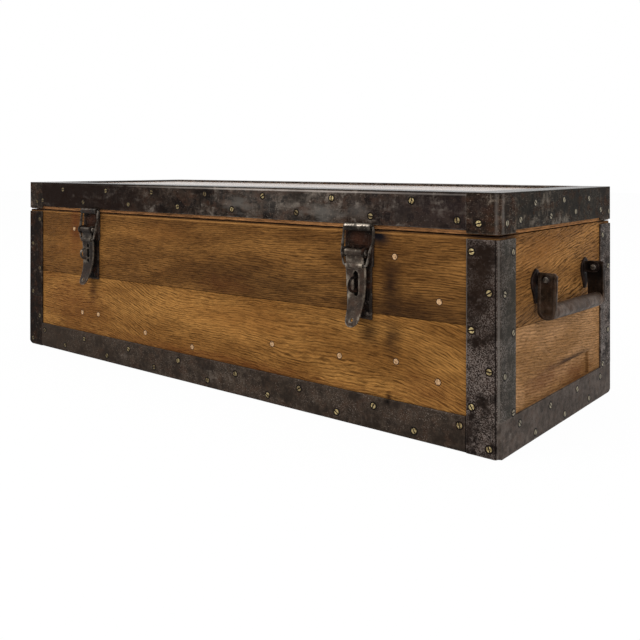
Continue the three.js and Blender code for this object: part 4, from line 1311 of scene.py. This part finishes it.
def fitting(node, material, slot="steel_fittings", width=FITTING_EASE):
    """A fitting made from a copy of its solid, with its edges eased."""
    built = solid_copy(node)
    segments = edge_segments(built)
    ease(built, sharp_edges(built, FITTING_SHARP), width, 1)
    grid(built, FITTING_SLICE)
    mark_wear(built, segments, FITTING_WEAR_REACH)
    show_for(node, "piece", built, material, slot)


def bridge(built, near, far):
    """Faces between two rows of corners that both go round."""
    others = [(step + 1) % len(near) for step in range(len(near))]
    return [
        built.faces.new((near[step], near[other], far[other], far[step]))
        for step, other in enumerate(others)
    ]


def loft(built, rings):
    """Joins outlines of one count, one after another, into a closed skin."""
    rows = [[built.verts.new(point) for point in ring] for ring in rings]
    made = [face for near, far in zip(rows, rows[1:]) for face in bridge(built, near, far)]
    made.append(built.faces.new(rows[0][::-1]))
    made.append(built.faces.new(rows[-1]))
    bmesh.ops.recalc_face_normals(built, faces=made)


def ring_points(count, half_wide, half_deep, square=1.0):
    """A round outline, squarer where the power is under 1."""
    points = []
    for step in range(count):
        turn = 2 * math.pi * step / count
        across, up = math.cos(turn), math.sin(turn)
        points.append((
            half_wide * math.copysign(abs(across) ** square, across),
            half_deep * math.copysign(abs(up) ** square, up),
        ))
    return points


def rolled_sheet(radius, sheet, start, end, steps):
    """Outline of a rolled sheet, as pairs of distance and turn: along its outside and back inside."""
    turns = [math.radians(start + (end - start) * step / steps) for step in range(steps + 1)]
    return [(radius, turn) for turn in turns] + [(radius - sheet, turn) for turn in reversed(turns)]


def smooth_path(corners, radius):
    """Points along straight runs with each corner rounded off."""
    path = [corners[0]]
    steps = 5
    for before, corner, after in zip(corners, corners[1:], corners[2:]):
        back = (before - corner).normalized()
        ahead = (after - corner).normalized()
        reach = min(radius, (before - corner).length * 0.45, (after - corner).length * 0.45)
        start, end = corner + back * reach, corner + ahead * reach
        for step in range(steps + 1):
            share = step / steps
            path.append(start * (1 - share) ** 2 + corner * 2 * share * (1 - share) + end * share ** 2)
    path.append(corners[-1])
    return path


def sweep(built, path, normal, section):
    """Runs a section along a flat path. The section takes a place and gives its outline there."""
    rings = []
    last = len(path) - 1
    for step, place in enumerate(path):
        along = (path[min(step + 1, last)] - path[max(step - 1, 0)]).normalized()
        side = along.cross(normal).normalized()
        rings.append([place + side * wide + normal * deep for wide, deep in section(place)])
    loft(built, rings)


def set_wear_and_highlight(built, wear):
    """Gives each point its wear and painted highlight, as one value or by a function of its place."""
    layer = built.verts.layers.float.get("wear_and_highlight") or built.verts.layers.float.new("wear_and_highlight")
    for vert in built.verts:
        vert[layer] = wear(vert.co, vert[layer]) if callable(wear) else wear


def ridge_frame(built, x):
    """A raised frame with sloped sides on the front face of a latch plate."""
    low, high, rise = PLATE_FRAME_LOW, PLATE_FRAME_HIGH, PLATE_FRAME_RISE
    sunk, shoulder = -0.2 * MM, 0.3 * rise
    outer = [(-1, low), (1, low), (1, high), (-1, high)]
    rows = []
    for share, out in ((0, sunk), (0, shoulder), (0.3, rise), (0.7, rise), (1, shoulder), (1, sunk)):
        inset = share * PLATE_FRAME_WIDTH
        rows.append([
            built.verts.new((
                x + across * (PLATE_FRAME_HALF - inset),
                -PLATE_FACE_Y - out,
                up + (inset if up == low else -inset),
            ))
            for across, up in outer
        ])
    rows.append(rows[0])
    made = [face for near, far in zip(rows, rows[1:]) for face in bridge(built, near, far)]
    bmesh.ops.recalc_face_normals(built, faces=made)


def button(built, centre, out, radius, rise, sink=0.3 * MM, flat=0.55):
    """A low round boss on a surface, as a rivet head or a pressed dimple."""
    out = Vector(out)
    side = out.orthogonal().normalized()
    other = out.cross(side)
    turns = [2 * math.pi * step / HEAD_CORNERS for step in range(HEAD_CORNERS)]
    loft(built, [
        [
            Vector(centre) + out * up + radius * far * (side * math.cos(turn) + other * math.sin(turn))
            for turn in turns
        ]
        for far, up in ((1.0, -sink), (1.0, rise * 0.35), (0.9, rise * 0.75), (flat, rise))
    ])


def latch_relief(side, x):
    """Raised frame and pressed dimples on the base plate, and the rivets at its foot."""
    foot_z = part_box(f"{side}_latch_plate")[0].z
    built = bmesh.new()
    ridge_frame(built, x)
    for across, up in PLATE_DIMPLES:
        place = (x + across * MM, -PLATE_FACE_Y, up * MM)
        button(built, place, (0, -1, 0), DIMPLE_RADIUS, DIMPLE_RISE)
    for across in PLATE_RIVETS:
        place = (x + across * MM, -PLATE_FACE_Y, foot_z + RIVET_INSET)
        button(built, place, (0, -1, 0), RIVET_RADIUS, RIVET_RISE)
    set_wear_and_highlight(built, PLATE_WEAR)
    show(f"{side}_latch_relief", built, "body", plate_steel, "steel_fittings")


def latch_lever(side, x):
    """The lever from its solid, cut finer, with painted highlights on its barrel, its lip and below the
    slot.
    """
    node = f"{side}_latch_lever"
    built = solid_copy(node)
    segments = edge_segments(built)
    ease(built, sharp_edges(built, FITTING_SHARP), LEVER_EASE)
    grid(built, LEVER_SLICE)
    mark_wear(built, segments, LEVER_WEAR_REACH)
    face_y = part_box(node)[0].y + LEVER_FACE_INSET

    # Painted highlights: a bright line along the top of the barrel and bright spots on the lip and below
    # the slot; elsewhere the edge wear stays
    def wear(place, wear_and_highlight):
        out = BARREL_Y - place.y
        up = place.z - BARREL_Z
        if math.hypot(out, up) < BARREL_RADIUS and out > 0:
            return max(0.0, 0.9 - abs(up / MM - 2.6) * 0.5)
        for across, height, reach in LEVER_HIGHLIGHT_SPOTS:
            spot = Vector((x + across * MM, face_y, height * MM))
            near = 1.0 - (place - spot).length / (reach * MM)
            wear_and_highlight = max(wear_and_highlight, min(1.0, near * 1.6))
        return wear_and_highlight

    set_wear_and_highlight(built, wear)
    show_for(node, "piece", built, lever_steel, "worn_steel")


def latch_bail(side, x):
    """Flat wire loop: its foot turns in the lever's lip and its tips end at the keeper's roll."""
    node = f"{side}_latch_bail"
    low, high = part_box(node)
    foot_z = low.z + BAIL_END_INSET
    tip_z = high.z - BAIL_END_INSET
    lean = (KEEPER_Y - BAIL_FOOT_Y) / (tip_z - foot_z)

    def place(across, z):
        return Vector((x + across * MM, BAIL_FOOT_Y + (z - foot_z) * lean, z))

    path = smooth_path([
        place(KEEPER_SHIFT - 20.9, tip_z),
        place(KEEPER_SHIFT - 22.6, tip_z),
        place(KEEPER_SHIFT - 23.4, tip_z - 17 * MM),
        place(-21.4, foot_z + 14 * MM),
        place(-17.4, foot_z),
        place(17.4, foot_z),
        place(20.6, foot_z + 12 * MM),
        place(22.2, foot_z + 21 * MM),
        place(26.8, foot_z + 30 * MM),
        place(KEEPER_SHIFT + 23.4, tip_z - 6 * MM),
        place(KEEPER_SHIFT + 22.6, tip_z),
        place(KEEPER_SHIFT + 20.9, tip_z),
    ], BAIL_BEND_RADIUS)

    def section(point):
        """Round at the foot and the tips, flattened and a little uneven between."""
        up = (point.z - foot_z) / (tip_z - foot_z)
        flat = max(0.0, min(1.0, (up - 0.04) / 0.12)) * max(0.0, min(1.0, (0.98 - up) / 0.08))
        bulge = 1.0 + 0.16 * math.sin(up * 23) * flat
        half_thick = BAIL_FOOT_RADIUS + (BAIL_HALF_THICK - BAIL_FOOT_RADIUS) * flat
        half_deep = (BAIL_FOOT_RADIUS + (BAIL_HALF_DEEP - BAIL_FOOT_RADIUS) * flat) * bulge
        return ring_points(12, half_thick * MM, half_deep * MM, 0.8)

    built = bmesh.new()
    sweep(built, path, Vector((0.0, -1.0, lean)).normalized(), section)
    set_wear_and_highlight(built, BAIL_WEAR)
    show_for(node, "wire", built, wire_steel, "worn_steel")


def latch_staple(side, x):
    """Half ring of wire, round in section, that stands through the lever's slot."""
    node = f"{side}_latch_staple"
    low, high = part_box(node)
    half = (high.z - low.z) / 2 - STAPLE_RADIUS
    centre_z = (low.z + high.z) / 2
    bend_y = low.y + STAPLE_RADIUS + half
    leg = [(high.y, half), ((high.y + bend_y) / 2, half)]
    turns = [math.pi / 2 + math.pi * step / 16 for step in range(17)]
    bend = [(bend_y + half * math.cos(turn), half * math.sin(turn)) for turn in turns]
    way = leg + bend + [(y, -up) for y, up in reversed(leg)]
    path = [Vector((x, y, centre_z + up)) for y, up in way]
    built = bmesh.new()
    sweep(built, path, Vector((1, 0, 0)), lambda point: ring_points(12, STAPLE_RADIUS, STAPLE_RADIUS))
    # Lit and shaded copies: the left staple is bright wire with a painted highlight, the right one is
    # painted near-black as shade
    bright = side == "left"
    set_wear_and_highlight(built, 0.6 if bright else 0.06)
    show_for(node, "ring", built, wire_steel if bright else plate_steel, "worn_steel")


def latch_keeper(side, x):
    """The keeper: an almost closed roll of sheet, open at both ends, over its small plate."""
    node = f"{side}_latch_keeper"
    low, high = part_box(node)
    start, end = low.x + KEEPER_SHIFT * MM, high.x + KEEPER_SHIFT * MM
    outline = rolled_sheet(KEEPER_ROLL, KEEPER_SHEET, KEEPER_ROLL_START, KEEPER_ROLL_END, 26)
    rings = []
    for step in range(13):
        along = start + (end - start) * step / 12
        dent = 0.98 - 0.03 * noise.noise(Vector((along * 90, x * 10, 3.0)))
        rings.append([
            Vector((along, KEEPER_Y + dent * far * math.cos(turn), KEEPER_Z + dent * far * math.sin(turn)))
            for far, turn in outline
        ])
    built = bmesh.new()
    loft(built, rings)
    # Painted highlight: a bright band along the roll's upper part, strong on the right latch and faint on
    # the left, dark at the ends
    peak = 2.6 if side == "right" else 0.7

    def wear(place, wear_and_highlight):
        if min(place.x - start, end - place.x) < 0.1 * MM:
            return 0.1
        return max(0.04, peak - abs((place.z - KEEPER_Z) / KEEPER_ROLL - 0.6) * 7.0)

    set_wear_and_highlight(built, wear)
    show(f"{node}_roll", built, "lid", wire_steel, "worn_steel")

    built = solid_copy(node)
    rolled = [
        vert for vert in built.verts
        if math.hypot(vert.co.y - KEEPER_Y, vert.co.z - KEEPER_Z) < KEEPER_ROLL + 0.1 * MM
    ]
    bmesh.ops.delete(built, geom=rolled, context="VERTS")
    bmesh.ops.holes_fill(built, edges=built.edges)
    bmesh.ops.recalc_face_normals(built, faces=built.faces)
    mark_wear(built, edge_segments(built), KEEPER_WEAR_REACH)
    show_for(node, "foot", built, latch_steel, "worn_steel")


def arm_outline(low, high):
    """Outline of a handle's arm, as pairs of distance from the box's middle and height."""
    points = []
    for step in range(13):
        turn = -math.pi * step / 12
        points.append((
            high - ARM_FOOT_RADIUS + ARM_FOOT_RADIUS * math.cos(turn),
            HANDLE_PIVOT_Z - HANDLE_DROP + ARM_FOOT_RADIUS * math.sin(turn),
        ))
    for step in range(5):
        turn = math.pi - step / 4 * math.asin(ARM_NECK / ARM_SHOULDER)
        points.append((
            low + ARM_SHOULDER + ARM_SHOULDER * math.cos(turn),
            HANDLE_PIVOT_Z + ARM_SHOULDER * math.sin(turn),
        ))
    points.append((high - ARM_CORNER, HANDLE_PIVOT_Z + ARM_NECK))
    points.append((high, HANDLE_PIVOT_Z + ARM_NECK - ARM_CORNER))
    return points


def handle_arm(built, outline, sign, near, far):
    """A flat arm between two places along y, with a border pressed up on its outer face."""
    inner = [built.verts.new((sign * x, near, z)) for x, z in outline]
    outer = [built.verts.new((sign * x, far, z)) for x, z in outline]
    sides = [built.faces.new(inner), built.faces.new(outer)]
    panel = sides[1]
    bmesh.ops.recalc_face_normals(built, faces=sides + bridge(built, inner, outer))
    bmesh.ops.inset_region(built, faces=[panel], thickness=ARM_BORDER, depth=0.0)
    bmesh.ops.inset_region(built, faces=[panel], thickness=ARM_BORDER_SLOPE, depth=-ARM_PANEL_DEPTH)


def drop_handle(side, sign):
    """Pressed steel handle: bordered arms with a flange along the outer edge, and a rolled grip."""
    node = f"{side}_handle"
    low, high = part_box(node)
    inner_x, outer_x = sorted((abs(low.x), abs(high.x)))
    flange_x = outer_x - ARM_FLANGE_THICK
    flange_low, flange_high = HANDLE_PIVOT_Z - HANDLE_DROP, HANDLE_PIVOT_Z + ARM_FLANGE_RISE
    built = bmesh.new()
    outline = arm_outline(inner_x, outer_x)
    for end in (-1, 1):
        outer_y = end * high.y
        handle_arm(built, outline, sign, outer_y - end * ARM_THICK, outer_y)
        corners = [(outer_x, flange_high), (outer_x, flange_low)]
        corners += [(flange_x, flange_low), (flange_x, flange_high)]
        loft(built, [
            [Vector((sign * x, y, z)) for x, z in corners]
            for y in (outer_y - end * ARM_FLANGE, outer_y)
        ])
    ease(built, sharp_edges(built), ARM_EASE)

    centre_x = outer_x - GRIP_RADIUS
    centre_z = HANDLE_PIVOT_Z - HANDLE_DROP - ARM_FOOT_RADIUS + GRIP_RADIUS
    outline = rolled_sheet(GRIP_RADIUS, GRIP_SHEET, -GRIP_OPENING, GRIP_OPENING, 27)
    rings = []
    for step in range(GRIP_SLICES + 1):
        across = 2 * step / GRIP_SLICES - 1
        belly = 1.0 - GRIP_BELLY * across ** 2
        y = (high.y - GRIP_END_INSET) * across
        rings.append([
            Vector((sign * (centre_x + far * belly * math.cos(turn)), y,
                    centre_z + far * belly * math.sin(turn)))
            for far, turn in outline
        ])
    loft(built, rings)

    for vert in built.verts:
        down = max(0.0, min(1.0, (HANDLE_PIVOT_Z - BEND_START - vert.co.z) / BEND_RUN))
        across = vert.co.y / high.y
        vert.co.z -= GRIP_DROOP * down * (across + 1) / 2
        vert.co.y += GRIP_SPLAY * down * across
    built.normal_update()
    segments = edge_segments(built, HANDLE_SHARP)
    grid(built, HANDLE_SLICE)
    mark_wear(built, segments)

    # Painted highlight: the grip lighter on its outer and lower faces; the arms keep a share of their edge
    # wear
    def wear(place, wear_and_highlight):
        if abs(place.y) > high.y - 1 * MM:
            return wear_and_highlight * ARM_WEAR_SHARE
        under = (centre_z - place.z) / GRIP_RADIUS
        outside = (abs(place.x) - centre_x) / GRIP_RADIUS
        return max(wear_and_highlight * 0.6, 0.5 * max(0.0, outside), 0.7 * max(0.0, under - 0.55))

    set_wear_and_highlight(built, wear)
    show_for(node, "piece", built, handle_steel, "steel_fittings")


def pin_domes(side):
    """Round riveted ends of the handle's pins, with a painted highlight on top."""
    built = bmesh.new()
    for end, face in ((-1, "front"), (1, "back")):
        low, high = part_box(f"{side}_handle_pin_{face}")
        middle = (low + high) / 2
        outer, inner = (low.y, high.y) if end < 0 else (high.y, low.y)
        place = (middle.x, outer - end * DOME_INSET, middle.z)
        button(built, place, (0, end, 0), DOME_RADIUS, DOME_RISE, flat=DOME_FLAT)
        place = (middle.x, inner, middle.z)
        button(built, place, (0, -end, 0), DOME_RADIUS, INNER_DOME_RISE, INNER_DOME_SINK, DOME_FLAT)
    # Painted highlight: brighter towards the top of each dome
    set_wear_and_highlight(built, lambda place, wear_and_highlight: max(0.0, (place.z - middle.z) / DOME_RADIUS))
    show(f"{side}_pin_domes", built, "body", dome_steel, "worn_steel")


for side, sign in (("left", -1), ("right", 1)):
    middle = sign * LATCH_PLACE
    fitting(f"{side}_latch_plate", plate_steel)
    latch_relief(side, middle)
    fitting(f"{side}_latch_pin", latch_steel, "worn_steel", PIN_EASE)
    latch_lever(side, middle)
    latch_bail(side, middle)
    latch_staple(side, middle)
    latch_keeper(side, middle)
    drop_handle(side, sign)
    pin_domes(side)
    for end in ("front", "back"):
        fitting(f"{side}_handle_bracket_{end}", bracket_steel)
        fitting(f"{side}_handle_pin_{end}", bracket_steel, "worn_steel")
    fitting(f"{side}_hinge_body_leaf", plate_steel)
    fitting(f"{side}_hinge_lid_leaf", plate_steel)
    fitting(f"{side}_hinge_pin", worn_steel, "worn_steel")
